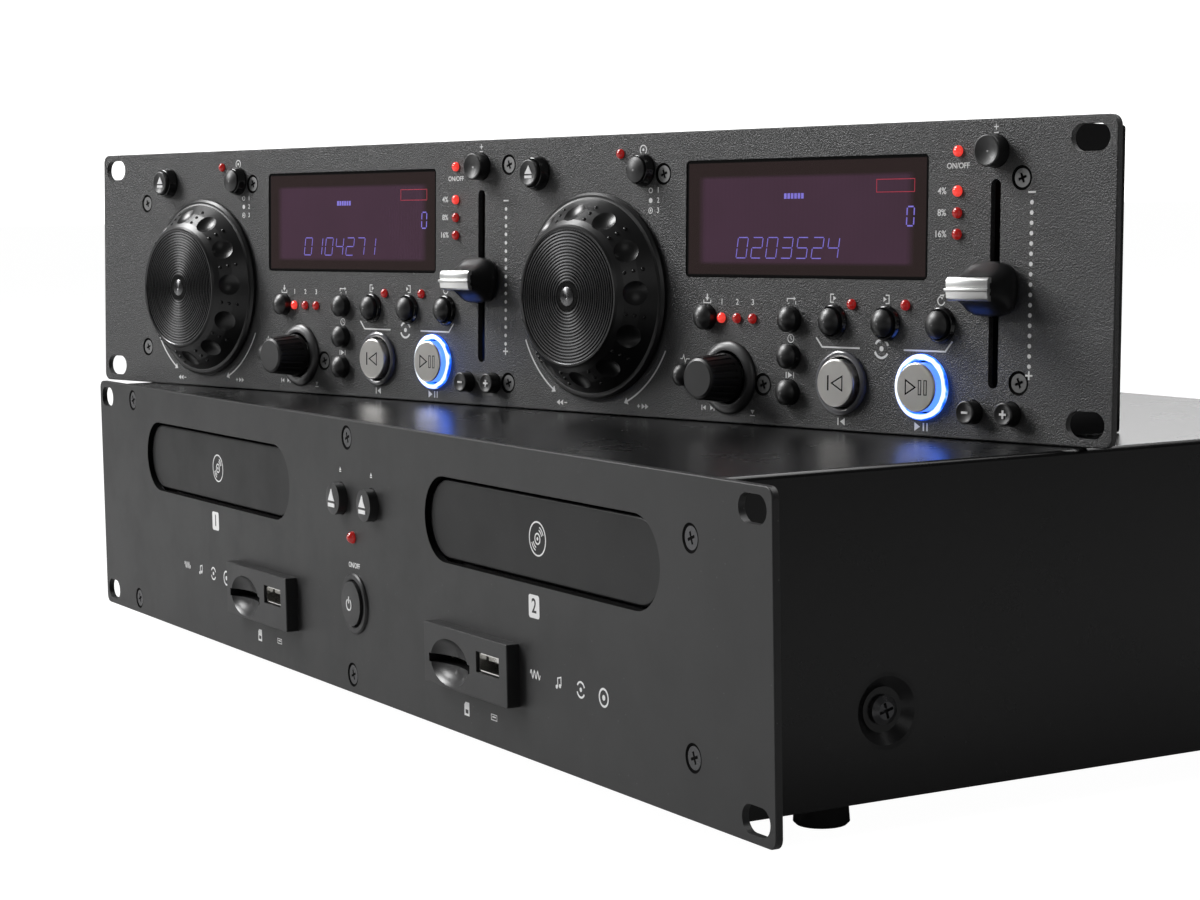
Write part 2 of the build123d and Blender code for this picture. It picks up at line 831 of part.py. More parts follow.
def disc_mechanism():
    """Loader base, rails, clamp bridge, motor, sled, rods, drive pinion and posts of one tray."""
    low = drawer_bottom - tray_y
    high = drawer_top - tray_y
    half = drawer_width / 2 + slide_gap
    floor = low - loader_floor_drop
    front = -loader_start
    back = front - loader_length
    lip = high + slide_gap + lip_height
    outside = half + loader_wall
    base = block(-outside, outside, floor - loader_wall, floor, back, front)
    rear_wall = block(-half, half, floor, lip, back, back + loader_wall)
    rails = []
    for side in (-1, 1):
        rail = block(*sorted((side * half, side * outside)), floor, lip, back, front)
        foot = sorted((side * (half - rail_width), side * half))
        rail += block(*foot, floor, low - slide_gap, back + loader_wall, front)
        edge = sorted((side * (half - rail_width / 2), side * half))
        rail += block(*edge, high + slide_gap, lip, back + loader_wall, front)
        rails.append(rail)
    beam_low = high + clamp_beam_lift
    beam_half = clamp_beam_width / 2
    beam_ends = (disc_centre - beam_half, disc_centre + beam_half)
    bridge = [block(-outside, outside, beam_low, beam_low + clamp_beam_thickness, *beam_ends)]
    for side in (-1, 1):
        leg = sorted((side * half, side * outside))
        bridge.append(block(*leg, lip, beam_low, *beam_ends))
    window_half = guide_rod_spacing / 2 + rod_block
    window_back = disc_centre - guide_rod_length - rod_block
    window_front = disc_centre + motor_radius + window_margin
    base -= block(-window_half, window_half, floor - loader_wall - 1, floor + 1, window_back, window_front)
    deck_top = floor - loader_wall
    deck = block(
        -window_half - window_margin,
        window_half + window_margin,
        deck_top - loader_wall,
        deck_top,
        window_back - window_margin,
        window_front + window_margin,
    )
    clamp = upright(clamp_radius, beam_low - clamp_thickness, beam_low, 0, disc_centre)
    platter_low = low - slide_gap - platter_thickness
    platter = upright(platter_radius, platter_low, low - slide_gap, 0, disc_centre)
    spindle = upright(spindle_radius, deck_top, platter_low, 0, disc_centre)
    motor = upright(motor_radius, deck_top - loader_wall - motor_height, deck_top - loader_wall, 0, disc_centre)
    sled_z = disc_centre - 30.0
    sled_half = sled_width / 2
    sled = block(
        -sled_half, sled_half, deck_top, deck_top + sled_height - lens_height, sled_z - sled_length / 2,
        sled_z + sled_length / 2,
    )
    sled += upright(lens_radius, deck_top + sled_height - lens_height, deck_top + sled_height, 0, sled_z)
    rods = []
    rod_y = deck_top + rod_block / 2
    rod_front = disc_centre - 14.0
    for x in mirrored_pair(guide_rod_spacing / 2):
        rods.append(post(guide_rod_radius, rod_front - guide_rod_length + 8, rod_front, x, rod_y))
        for z in (rod_front + rod_block, rod_front - guide_rod_length + 8):
            rods.append(block(x - 3, x + 3, deck_top, deck_top + rod_block, z - rod_block, z))
    gear_x = half - rail_width - pinion_radius - 1.5
    pinion = upright(pinion_radius - 0.8, floor, floor + pinion_height, gear_x, front - 20)
    for tooth in range(pinion_teeth):
        wedge = Rot(0, tooth * 360 / pinion_teeth, 0) * block(
            pinion_radius - 1.4, pinion_radius + 0.6, floor, floor + pinion_height, -0.6, 0.6
        )
        pinion += Pos(gear_x, 0, front - 20) * wedge
    posts = []
    post_foot = floor_top - tray_y
    for x in mirrored_pair(post_x):
        for depth in post_depths:
            posts.append(upright(post_radius, post_foot, floor - loader_wall, x, -depth))
    frame = [base, rear_wall, *rails, *bridge]
    return [*frame, deck, clamp, platter, spindle, motor, sled, pinion, *rods, *posts]


def place_pieces(x, y, pieces):
    return [Pos(x, y, 0) * piece for piece in pieces]


def power_button():
    """A broad cap with a slightly crowned face, a flange and a stem."""
    return button_cap(power_cap_radius, power_cap_height - 0.6, 0.6, -panel_thickness - 9.0, power_travel)


def drive_boards():
    """Main board along the back and power board in the middle, on their spacers."""
    board_low = floor_top + board_lift
    board_top = board_low + board_thickness
    pieces = []
    main_back = rear_inner + 1.0
    main_front = main_back + main_board_length
    half = main_board_width / 2
    pieces.append(block(-half, half, board_low, board_top, main_back, main_front))
    for x in (-half + 8, -70, 70, half - 8):
        for z in (main_back + 6, main_front - 6):
            pieces.append(upright(3.0, floor_top, board_low, x, z))
    for x in (-130, -110, 40, 90, 130):
        chip = block(x, x + chip_size, board_top, board_top + chip_height, main_front - 26, main_front - 26 + chip_size)
        pieces.append(chip)
    for x in (-60, -45, 150, 164):
        pieces.append(upright(capacitor_radius, board_top, board_top + capacitor_height, x, main_front - 12))
    half = power_board_width / 2
    power_back = -170.0
    power_front = power_back + power_board_length
    pieces.append(block(-half, half, board_low, board_top, power_back, power_front))
    for x in mirrored_pair(half - 6):
        for z in (power_back + 6, power_front - 6):
            pieces.append(upright(3.0, floor_top, board_low, x, z))
    transformer = block(
        -half + 6,
        -half + 6 + transformer_width,
        board_top,
        board_top + transformer_height,
        power_back + 12,
        power_back + 12 + transformer_length,
    )
    pieces.append(transformer)
    for z in (power_front - 14, power_front - 30):
        pieces.append(upright(capacitor_radius + 2, board_top, board_top + capacitor_height + 6, -half + 16, z))
    sink = block(half - 22, half - 6, board_top, board_top + heatsink_height, power_back + 14, power_front - 20)
    for step in range(5):
        z = power_back + 20 + step * 12
        sink -= block(half - 19, half - 5, board_top + 3, board_top + heatsink_height + 1, z, z + 7)
    pieces.append(sink)
    return pieces


def rear_connectors():
    """Mains inlet, two pairs of phono sockets and two link sockets."""
    pieces = []
    width = inlet_cavity_width + 2 * inlet_wall
    height = inlet_cavity_height + 2 * inlet_wall
    outer = rear_face - inlet_flange_thickness
    inner = outer + inlet_cavity_depth + 3.0
    body = block(-width / 2, width / 2, -height / 2, height / 2, rear_face, inner)
    flange_x = width / 2 + inlet_flange
    flange_y = height / 2 + inlet_flange
    body += block(-flange_x, flange_x, -flange_y, flange_y, outer, rear_face)
    half_x = inlet_cavity_width / 2
    half_y = inlet_cavity_height / 2
    body -= block(-half_x, half_x, -half_y, half_y, outer - 1, outer + inlet_cavity_depth)
    for x, y in ((-7.0, -2.0), (0.0, 2.0), (7.0, -2.0)):
        pin = block(x - 1, x + 1, y - 2, y + 2, outer + inlet_cavity_depth - inlet_pin_length, inner - 1)
        body += pin
    pieces.append(Pos(inlet_x, inlet_y, 0) * body)
    base_half = phono_base / 2
    board_top = floor_top + board_lift + board_thickness
    for x in phono_x:
        jack = block(-base_half, base_half, board_top - rear_socket_y, base_half, rear_inner, rear_inner + rear_socket_depth)
        jack += post(phono_radius, rear_face - phono_length, rear_inner)
        jack -= post(phono_bore, rear_face - phono_length - 1, rear_inner + 4)
        pieces.append(Pos(x, rear_socket_y, 0) * jack)
    for x in link_x:
        socket = link_socket(rear_face - link_socket_lip, rear_inner, board_top - rear_socket_y)
        pieces += place_pieces(x, rear_socket_y, socket)
    return pieces


def link_socket(outer, inner, foot):
    """A round link socket on a square base, looking backwards, and its contact insert."""
    half = link_socket_radius + link_socket_wall
    floor = inner + link_socket_depth
    body = block(-half, half, foot, half, inner, inner + rear_socket_depth)
    body += post(link_socket_radius, outer, inner)
    body -= post(link_socket_bore, outer - 1, floor)
    insert = post(link_socket_bore - link_socket_gap, outer + link_socket_lip, floor)
    return [body, insert]


# ---------------------------------------------------------------- control unit
def deck_button_place(deck, name, x, y):
    """Panel place of a small button; the left deck's eject button sits further in."""
    if deck == 0 and name == "eject_button":
        return deck_x[deck] + x + eject_shift[0], y + eject_shift[1]
    return deck_x[deck] + x, y


def control_faceplate():
    plate = rack_panel()
    cutters = []
    for deck, origin in enumerate(deck_x):
        cutters.append(through(Circle(jog_shaft_radius + 1.0), origin + jog_x, jog_y))
        window = RectangleRounded(window_width + hole_gap, window_height + hole_gap, window_corner)
        cutters.append(through(window, origin + window_x, window_y))
        cutters.append(through(Rot(0, 0, 90) * SlotOverall(slot_length, slot_width), origin + slot_x, slot_y))
        cutters.append(through(Circle(knob_ring_bore + 0.7 + press_gap), origin + knob_x, knob_y))
        for x in cue_x:
            cutters.append(through(Circle(light_ring_sleeve + press_gap), origin + x, cue_y))
        for x, y in deck_lamps:
            cutters.append(through(Circle(lamp_radius + press_gap), origin + x, y))
        for name, x, y, style in deck_buttons:
            cutters.append(through(Circle(button_hole_radius(style)), *deck_button_place(deck, name, x, y)))
    plate -= cutters
    plate -= [Pos(x, y, 0) * countersink(countersunk_small) for x, y in control_screws]
    return plate


def control_housing():
    """The shallow back shell, open to the front, with a tab behind each outer screw."""
    half = housing_width / 2
    front = -panel_thickness
    shell = block(-half, half, housing_bottom, housing_top, -housing_depth, front)
    shell = fillet(shell.edges().filter_by(Axis.X).group_by(Axis.Z)[0], housing_bend)
    shell -= block(
        -half + housing_wall,
        half - housing_wall,
        housing_bottom + housing_wall,
        housing_top - housing_wall,
        -housing_depth + housing_wall,
        front + 1,
    )
    for x, y in control_screws:
        if abs(x) < half - 2 * housing_tab_width:
            continue
        side = 1 if x > 0 else -1
        tab = sorted((side * (half - housing_tab_width), side * half))
        half_tab = housing_tab_height / 2
        shell += block(*tab, y - half_tab, y + half_tab, front - housing_tab_depth, front)
        shell -= post(countersunk_small["shank"] + press_gap, front - housing_tab_depth, front + 1, x, y)
    for x in control_socket_x:
        shell -= post(link_socket_radius + hole_gap, -housing_depth - 1, -housing_depth + housing_wall + 1, x, 0)
    return shell


def display_window():
    glass = extrude(RectangleRounded(window_width, window_height, window_corner), -panel_thickness + window_sink)
    glass = Pos(0, 0, -window_sink) * glass
    flange = RectangleRounded(window_width + 2 * window_flange, window_height + 2 * window_flange, window_corner)
    return glass + Pos(0, 0, -panel_thickness) * extrude(flange, -window_flange_thickness)


def jog_wheel():
    """A hollow sloping wheel with finger dimples, a grooved top and a shaft."""
    top = jog_top_height
    outer = (
        (jog_base_radius, jog_lift),
        (jog_base_radius, jog_base_height),
        (jog_bead_radius + 0.3, jog_bead_height),
        (jog_bead_radius - 0.4, jog_bead_height),
        (jog_bead_radius - 0.9, jog_base_height + 0.9),
        (27.5, 6.6),
        (24.2, 10.2),
        (jog_top_radius + 0.2, top - 0.7),
        (jog_top_radius - 0.4, top),
        (jog_top_radius - 1.0, top),
        (jog_top_radius - 1.2, top - 0.25),
        (0, top - 0.25),
    )
    inner = (
        (0, -board_depth + 1.0),
        (jog_shaft_radius, -board_depth + 1.0),
        (jog_shaft_radius, jog_lift),
        (jog_hub_radius, jog_lift),
        (jog_hub_radius, top - jog_shell - 0.6),
        (jog_top_radius - 2.0, top - jog_shell - 0.6),
        (22.0, 9.4),
        (25.6, 5.2),
        (jog_bead_radius - 2.6, jog_lift),
    )
    wheel = turned(outer + inner)
    for step in range(jog_groove_count):
        radius = jog_groove_first + step * jog_groove_pitch
        groove = turned(
            (
                (radius - 0.25, top),
                (radius + 0.25, top),
                (radius + 0.1, top - 0.25 - jog_groove_depth),
                (radius - 0.1, top - 0.25 - jog_groove_depth),
            )
        )
        wheel -= groove
    slope = 50.0
    ball = (jog_dimple_radius**2 + jog_dimple_depth**2) / (2 * jog_dimple_depth)
    lift = ball - jog_dimple_depth
    for step in range(jog_dimple_count):
        turn = jog_dimple_phase + step * 360 / jog_dimple_count
        reach = jog_dimple_orbit + lift * sin(radians(slope))
        height = 7.9 + lift * cos(radians(slope))
        wheel -= Rot(0, 0, turn) * Pos(reach, 0, height) * Sphere(ball)
    return wheel


def pitch_slider():
    """A saddle-shaped finger cap with a metal bar, on a blade through the slot."""
    base = slider_lift
    half = slider_length / 2
    top_half = slider_top_length / 2
    shoulder = base + slider_skirt
    outline = Polyline(
        (top_half, slider_body_height),
        (-top_half, slider_body_height),
    )
    left = ThreePointArc(
        (-top_half, slider_body_height),
        (-top_half - 1.5, base + 6.0),
        (-half, shoulder),
    )
    bottom = Polyline((-half, shoulder), (-half, base), (half, base), (half, shoulder))
    right = ThreePointArc(
        (half, shoulder),
        (top_half + 1.5, base + 6.0),
        (top_half, slider_body_height),
    )
    side_face = make_face(Plane.YZ * (outline + left + bottom + right))
    body = extrude(side_face, slider_width / 2, both=True)
    wide = slider_width / 2
    narrow = slider_top_width / 2
    front_face = make_face(
        Plane.XZ
        * Polyline(
            (-wide, base),
            (wide, base),
            (wide, shoulder),
            (narrow, slider_body_height),
            (-narrow, slider_body_height),
            (-wide, shoulder),
            close=True,
        )
    )
    body &= extrude(front_face, slider_length, both=True)
    stem_x = slider_stem_width / 2
    stem_y = slider_stem_length / 2
    body += block(-stem_x, stem_x, -stem_y, stem_y, -panel_thickness - 4.5, base)
    bar = block(-narrow, narrow, -top_half, top_half, slider_body_height, slider_body_height + slider_bar_height)
    bar = chamfer(bar.faces().sort_by(Axis.Z)[-1].edges(), 0.6)
    return [body, bar]


def track_knob():
    """A ribbed tapering knob with a blind bore for its shaft."""
    base = knob_lift
    body = turned(
        (
            (0, base),
            (knob_base_radius, base),
            (knob_base_radius, base + 1.2),
            (knob_top_radius, knob_height - knob_edge),
            (knob_top_radius - knob_edge * 0.35, knob_height - knob_edge * 0.35),
            (knob_top_radius - knob_edge, knob_height),
            (0, knob_height),
        )
    )
    flute = Pos(0, 0, base + 1.6) * Cylinder(0.55, knob_height, align=(Align.CENTER, Align.CENTER, Align.MIN))
    for step in range(knob_rib_count):
        turn = step * 360 / knob_rib_count
        lean = degrees(atan((knob_base_radius - knob_top_radius) / (knob_height - base)))
        seat = Rot(0, 0, turn) * Pos(knob_base_radius + 0.55 - knob_rib_depth, 0, base + 1.6) * Rot(0, -lean, 0)
        body -= seat * Pos(0, 0, -base - 1.6) * flute
    body -= post(knob_shaft_radius + running_gap, base - 1, base + knob_bore_depth)
    return body


def track_shaft():
    """The shaft that the knob turns on; it slides in the encoder when the knob is pressed."""
    foot = -board_depth + encoder_height + running_gap
    shaft = post(knob_shaft_radius, foot + knob_push + slide_gap, knob_lift + knob_bore_depth - running_gap)
    return shaft


def knob_ring():
    return turned(
        (
            (knob_ring_bore, -panel_thickness),
            (knob_ring_bore + 0.7, -panel_thickness),
            (knob_ring_bore + 0.7, 0),
            (knob_ring_radius, 0),
            (knob_ring_radius, 0.5),
            (knob_ring_radius - 0.6, knob_ring_height - 0.3),
            (knob_ring_radius - 1.2, knob_ring_height),
            (knob_ring_radius - 2.0, knob_ring_height - 0.1),
            (knob_ring_bore + 0.3, 0.7),
            (knob_ring_bore, 0.3),
        )
    )


def light_ring():
    return turned(
        (
            (light_ring_bore, -board_depth),
            (light_ring_sleeve, -board_depth),
            (light_ring_sleeve, 0),
            (light_ring_radius, 0),
            (light_ring_radius, light_ring_height - 0.5),
            (light_ring_radius - 0.5, light_ring_height),
            (light_ring_bore + 0.5, light_ring_height),
            (light_ring_bore, light_ring_height - 0.5),
        )
    )


def play_cap():
    """A metal cap in a light ring, with a softly hollowed face."""
    stem = -board_depth + switch_size / 2 + switch_gap + play_travel
    cap = post(play_cap_radius, -panel_thickness - 4.0, play_cap_height)
    cap = fillet(cap.faces().sort_by(Axis.Z)[-1].edges(), 0.5)
    cap += post(button_stem_radius, stem, -panel_thickness - 4.0)
    return cap


def deck_trim_rings(deck):
    origin = deck_x[deck]
    rings = [Pos(origin + knob_x, knob_y, 0) * knob_ring()]
    rings += [Pos(origin + x, cue_y, 0) * light_ring() for x in cue_x]
    for name, x, y, style in deck_buttons:
        if style in button_rings:
            rings.append(Pos(*deck_button_place(deck, name, x, y), 0) * ring_for(style))
    return rings


def lamp():
    body = post(lamp_radius, -panel_thickness - 0.8, 0)
    body += post(lamp_flange, -panel_thickness - 1.2, -panel_thickness)
    ball = (lamp_radius**2 + lamp_rise**2) / (2 * lamp_rise)
    dome = Pos(0, 0, lamp_rise - ball) * Sphere(ball)
    return body + (dome & post(lamp_radius, -0.1, lamp_rise + 0.1))


def deck_board(deck):
    """Circuit board of a deck, with everything that is soldered or screwed to it."""
    origin = deck_x[deck]
    front = -board_depth
    low, high = board_ends[deck]
    board = block(low, high, -board_half_height, board_half_height, front - board_thickness, front)
    pieces = [board]
    for x, y in control_screws:
        if low < x < high and abs(x) < housing_width / 2 - 2 * housing_tab_width:
            spacer = post(standoff_radius, front, -panel_thickness, x, y)
            spacer -= post(countersunk_small["shank"] + press_gap, front, -panel_thickness + 1, x, y)
            pieces.append(spacer)
    bearing = post(bearing_radius, front, front + bearing_length, origin + jog_x, jog_y)
    bearing -= post(jog_shaft_radius + running_gap, front, front + bearing_length + 1, origin + jog_x, jog_y)
    pieces.append(bearing)
    display_back = -panel_thickness - window_flange_thickness
    width = window_width / 2
    height = window_height / 2
    middle = origin + window_x
    display = block(middle - width, middle + width, window_y - height, window_y + height, front, display_back)
    pieces.append(display)
    half = encoder_size / 2
    encoder = block(-half, half, -half, half, front, front + encoder_height)
    encoder += post(knob_shaft_radius + 1.5, front + encoder_height, -panel_thickness)
    encoder -= post(knob_shaft_radius + running_gap, front + 1.5, -panel_thickness + 1)
    pieces.append(Pos(origin + knob_x, knob_y, 0) * encoder)
    frame_half = slot_length / 2 + fader_frame_extra
    wide = fader_frame_width / 2
    frame_front = front + fader_frame_height
    fader = block(-wide, wide, -frame_half, frame_half, front, frame_front)
    fader -= block(
        -slider_stem_width / 2 - slide_gap,
        slider_stem_width / 2 + slide_gap,
        -slot_length / 2,
        slot_length / 2,
        front + fader_wall,
        frame_front + 1,
    )
    pieces.append(Pos(origin + slot_x, slot_y, 0) * fader)
    switch_half = switch_size / 2
    for name, x, y, _style in deck_buttons:
        place = deck_button_place(deck, name, x, y)
        switch = block(-switch_half, switch_half, -switch_half, switch_half, front, front + switch_half)
        pieces.append(Pos(*place, 0) * switch)
    for x in cue_x:
        switch = block(-switch_half, switch_half, -switch_half, switch_half, front, front + switch_half)
        pieces.append(Pos(origin + x, cue_y, 0) * switch)
    half = link_socket_radius + link_socket_wall
    back = front - board_thickness
    inner = -housing_depth + housing_wall
    floor = inner + link_socket_depth
    socket = block(-half, half, -half, half, inner, back)
    socket += post(link_socket_radius, -housing_depth - link_socket_lip, inner)
    socket -= post(link_socket_bore, -housing_depth - 1, floor)
    insert = post(link_socket_bore - link_socket_gap, -housing_depth, floor)
    pieces += place_pieces(control_socket_x[deck], 0, [socket, insert])
    return pieces


def small_button(style):
    radius, rim, crown = button_styles[style]
    stem_end = -board_depth + switch_size / 2 + switch_gap + button_travel
    return button_cap(radius, rim, crown, stem_end, button_travel)


# ---------------------------------------------------------------- write the pieces
chassis = drive_chassis()
chassis -= rear_cutters()
save("drive_faceplate", [drive_faceplate()], drive_place)
save("drive_chassis", [chassis], drive_place)
save("drive_cover", [drive_cover()], drive_place)
save("rubber_feet", rubber_feet(), drive_place)
save("drive_screws", drive_screw_set(), drive_place)
save("faceplate_fittings", faceplate_fittings(), drive_place)
save("media_sockets", media_sockets(), drive_place)
mechanisms = []
for tray, x in enumerate(mirrored_pair(tray_x), start=1):
    save(f"disc_tray_{tray}", place_pieces(x, tray_y, disc_tray()), drive_place)
    mechanisms += place_pieces(x, tray_y, disc_mechanism())
save("disc_mechanisms", mechanisms, drive_place)
save("drive_boards", drive_boards(), drive_place)
save("rear_connectors", rear_connectors(), drive_place)
for number, x in enumerate(drive_eject_x, start=1):
    cap = button_cap(drive_eject_radius, drive_eject_height - 0.5, 0.5, -panel_thickness - 8.0, button_travel)
    save(f"drive_eject_button_{number}", [Pos(x, drive_eject_y, 0) * cap], drive_place)
save("power_button", [Pos(power_x, power_y, 0) * power_button()], drive_place)

save("control_faceplate", [control_faceplate()], control_place)
save("control_housing", [control_housing()], control_place)
windows = [Pos(origin + window_x, window_y, 0) * display_window() for origin in deck_x]
save("display_windows", windows, control_place)
save("control_boards", deck_board(0) + deck_board(1), control_place)
save("trim_rings", deck_trim_rings(0) + deck_trim_rings(1), control_place)
lamps = [Pos(origin + x, y, 0) * lamp() for origin in deck_x for x, y in deck_lamps]
save("control_lamps", lamps, control_place)
screws = [Pos(x, y, 0) * countersunk_screw(countersunk_small) for x, y in control_screws]
save("control_screws", screws, control_place)
for deck, origin in enumerate(deck_x):
    number = deck + 1
    save(f"jog_wheel_{number}", [Pos(origin + jog_x, jog_y, 0) * jog_wheel()], control_place)
    save(f"track_knob_{number}", [Pos(origin + knob_x, knob_y, 0) * track_knob()], control_place)
    save(f"track_shaft_{number}", [Pos(origin + knob_x, knob_y, 0) * track_shaft()], control_place)
    slider = place_pieces(origin + slot_x, slot_y + slider_rest, pitch_slider())
    save(f"pitch_slider_{number}", slider, control_place)
    for name, x in zip(play_names, cue_x):
        save(f"{name}_{number}", [Pos(origin + x, cue_y, 0) * play_cap()], control_place)
    for name, x, y, style in deck_buttons:
        place = Pos(*deck_button_place(deck, name, x, y), 0)
        save(f"{name}_{number}", [place * small_button(style)], control_place)
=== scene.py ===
import json
import math
import bpy
from mathutils import Matrix, Vector, kdtree


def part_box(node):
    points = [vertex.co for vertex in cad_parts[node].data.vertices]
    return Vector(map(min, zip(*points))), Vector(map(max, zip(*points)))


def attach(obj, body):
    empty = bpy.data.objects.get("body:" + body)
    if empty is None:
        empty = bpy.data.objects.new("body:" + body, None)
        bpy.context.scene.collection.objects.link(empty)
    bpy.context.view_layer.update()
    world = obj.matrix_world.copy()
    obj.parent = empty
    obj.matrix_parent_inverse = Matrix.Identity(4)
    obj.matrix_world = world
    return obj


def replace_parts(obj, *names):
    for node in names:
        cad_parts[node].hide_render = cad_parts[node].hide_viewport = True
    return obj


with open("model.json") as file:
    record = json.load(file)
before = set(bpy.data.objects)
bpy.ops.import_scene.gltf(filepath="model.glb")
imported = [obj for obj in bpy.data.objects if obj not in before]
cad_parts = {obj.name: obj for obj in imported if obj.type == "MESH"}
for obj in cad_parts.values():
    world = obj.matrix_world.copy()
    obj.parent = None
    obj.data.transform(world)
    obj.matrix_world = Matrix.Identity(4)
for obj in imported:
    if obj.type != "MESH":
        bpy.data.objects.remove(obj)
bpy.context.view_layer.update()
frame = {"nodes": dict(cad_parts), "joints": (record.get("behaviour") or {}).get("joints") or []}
nodes = frame["nodes"]
joints = {j["name"]: j for j in frame["joints"]}
mm = 0.001
print("frame loaded")

# the two panels' own frames: x right, y up, z out, in metres
deckShift = 0.10725
driveFrame = Matrix.Rotation(math.radians(90), 4, "X")
panelOut = Vector(joints["jog_turn_2"]["axis"])
panelUp = Vector(joints["pitch_slide_2"]["axis"])
panelRight = panelUp.cross(panelOut)
jogSpot = Vector(joints["jog_turn_2"]["pos_m"])
jogInPanel = Vector((42.05, -6.8, 0)) * mm
panelAxes = Matrix((panelRight, panelUp, panelOut)).transposed()
controlFrame = Matrix.Translation(jogSpot - panelAxes @ jogInPanel) @ panelAxes.to_4x4()
deckFrames = [controlFrame @ Matrix.Translation((side * deckShift, 0, 0)) for side in (-1, 1)]


def at(x, y, z=0.0):
    return Matrix.Translation((x * mm, y * mm, z * mm))


def clearSelection():
    if bpy.context.object and bpy.context.object.mode != "OBJECT":
        bpy.ops.object.mode_set(mode="OBJECT")
    bpy.ops.object.select_all(action="DESELECT")


def pick(obj):
    clearSelection()
    obj.select_set(True)
    bpy.context.view_layer.objects.active = obj


def nameIt(name, mat):
    obj = bpy.context.object
    obj.name = name
    obj.data.name = name
    obj.data.materials.clear()
    obj.data.materials.append(mat)
    return obj


def moveMesh(obj, matrix):
    obj.data.transform(matrix)
    obj.data.update()
    return obj


def twin(obj, name, matrix):
    # a copy with its own mesh, moved in the mesh
    other = obj.copy()
    other.data = obj.data.copy()
    other.name = name
    other.data.name = name
    bpy.context.scene.collection.objects.link(other)
    return moveMesh(other, matrix)


def editAll():
    bpy.ops.object.mode_set(mode="EDIT")
    bpy.ops.mesh.select_all(action="SELECT")


def applyAll(obj):
    pick(obj)
    for mod in list(obj.modifiers):
        bpy.ops.object.modifier_apply(modifier=mod.name)
    return obj


def smooth(obj, angle=35):
    pick(obj)
    bpy.ops.object.shade_smooth_by_angle(angle=math.radians(angle))
    return obj


def joinAll(objs, name):
    clearSelection()
    for o in objs:
        o.select_set(True)
    bpy.context.view_layer.objects.active = objs[0]
    if len(objs) > 1:
        bpy.ops.object.join()
    objs[0].name = name
    objs[0].data.name = name
    return objs[0]


def lathe(name, profile, mat, steps=96, angle=35):
    # profile: (radius, height) in mm, turned about z
    clearSelection()
    bpy.ops.mesh.primitive_plane_add(size=1)
    obj = nameIt(name, mat)
    editAll()
    bpy.ops.mesh.merge(type="CENTER")
    bpy.ops.transform.translate(value=(profile[0][0] * mm, 0, profile[0][1] * mm))
    for (r0, z0), (r1, z1) in zip(profile, profile[1:]):
        step = ((r1 - r0) * mm, 0, (z1 - z0) * mm)
        bpy.ops.mesh.extrude_vertices_move(TRANSFORM_OT_translate={"value": step})
    bpy.ops.mesh.select_all(action="SELECT")
    bpy.ops.mesh.spin(steps=steps, angle=math.tau, center=(0, 0, 0), axis=(0, 0, 1), dupli=False)
    bpy.ops.mesh.select_all(action="SELECT")
    bpy.ops.mesh.remove_doubles(threshold=0.000002)
    bpy.ops.mesh.normals_make_consistent(inside=False)
    bpy.ops.object.mode_set(mode="OBJECT")
    return smooth(obj, angle)


turnedReach = 40        # mm, the radius where the turning map's v is 1


def polarMap(obj):
    # UV: u along the circumference, v along the radius, for the metal's turning marks
    layer = obj.data.uv_layers.new(name="turned")
    for poly in obj.data.polygons:
        mid = sum((obj.data.vertices[i].co for i in poly.vertices), Vector()) / len(poly.vertices)
        base = math.atan2(mid.y, mid.x)
        for li in poly.loop_indices:
            co = obj.data.vertices[obj.data.loops[li].vertex_index].co
            reach = math.hypot(co.x, co.y)
            turn = math.atan2(co.y, co.x) if reach > 1e-6 else base
            turn += math.tau * round((base - turn) / math.tau)
            layer.data[li].uv = (turn / math.tau, reach / (turnedReach * mm))
    return obj


def plug(tree, node, inputs):
    # each input gets a number, a colour or another node's output
    for key, value in inputs.items():
        sock = node.inputs[key]
        if isinstance(value, bpy.types.NodeSocket):
            tree.links.new(value, sock)
        else:
            sock.default_value = (*value, 1) if sock.type == "RGBA" else value
    return node


def addNode(tree, kind, inputs=None, **values):
    node = tree.nodes.new(kind)
    for key, value in values.items():
        setattr(node, key, value)
    return plug(tree, node, inputs or {})


def mathNode(tree, operation, *values, clamp=False):
    node = addNode(tree, "ShaderNodeMath", operation=operation, use_clamp=clamp)
    return plug(tree, node, dict(enumerate(values))).outputs[0]


def mixColor(tree, factor, a, b):
    return addNode(tree, "ShaderNodeMix", {0: factor, 6: a, 7: b}, data_type="RGBA").outputs[2]


def noise(tree, coords, scale, **more):
    return addNode(tree, "ShaderNodeTexNoise", {"Vector": coords, "Scale": scale, **more}).outputs["Fac"]


def spread(tree, value, low, high):
    # low to high becomes nothing to full
    node = addNode(tree, "ShaderNodeMapRange", {"Value": value, "From Min": low, "From Max": high}, clamp=True)
    return node.outputs["Result"]


def tinted(color, share, lift=0.0):
    return tuple(min(1, c * share + lift) for c in color)


def addBump(tree, shader, height, strength, depth):
    bump = addNode(tree, "ShaderNodeBump", {"Strength": strength, "Distance": depth * mm, "Height": height})
    plug(tree, shader, {"Normal": bump.outputs["Normal"]})


def objectCoords(tree):
    return addNode(tree, "ShaderNodeTexCoord").outputs["Object"]


def panelCoords(tree, place):
    # Object coordinates turned into a panel's own frame
    inputs = {"Location": place.translation, "Rotation": place.to_euler(), "Vector": objectCoords(tree)}
    return addNode(tree, "ShaderNodeMapping", inputs, vector_type="TEXTURE").outputs["Vector"]


def newMaterial(name, color, roughness, metallic=0.0, coat=0.0, specular=0.5):
    mat = bpy.data.materials.new(name)
    mat.use_nodes = True
    tree = mat.node_tree
    shader = plug(tree, tree.nodes["Principled BSDF"], {
        "Base Color": color, "Roughness": roughness, "Metallic": metallic, "Coat Weight": coat,
        "Specular IOR Level": specular,
    })
    return mat, tree, shader


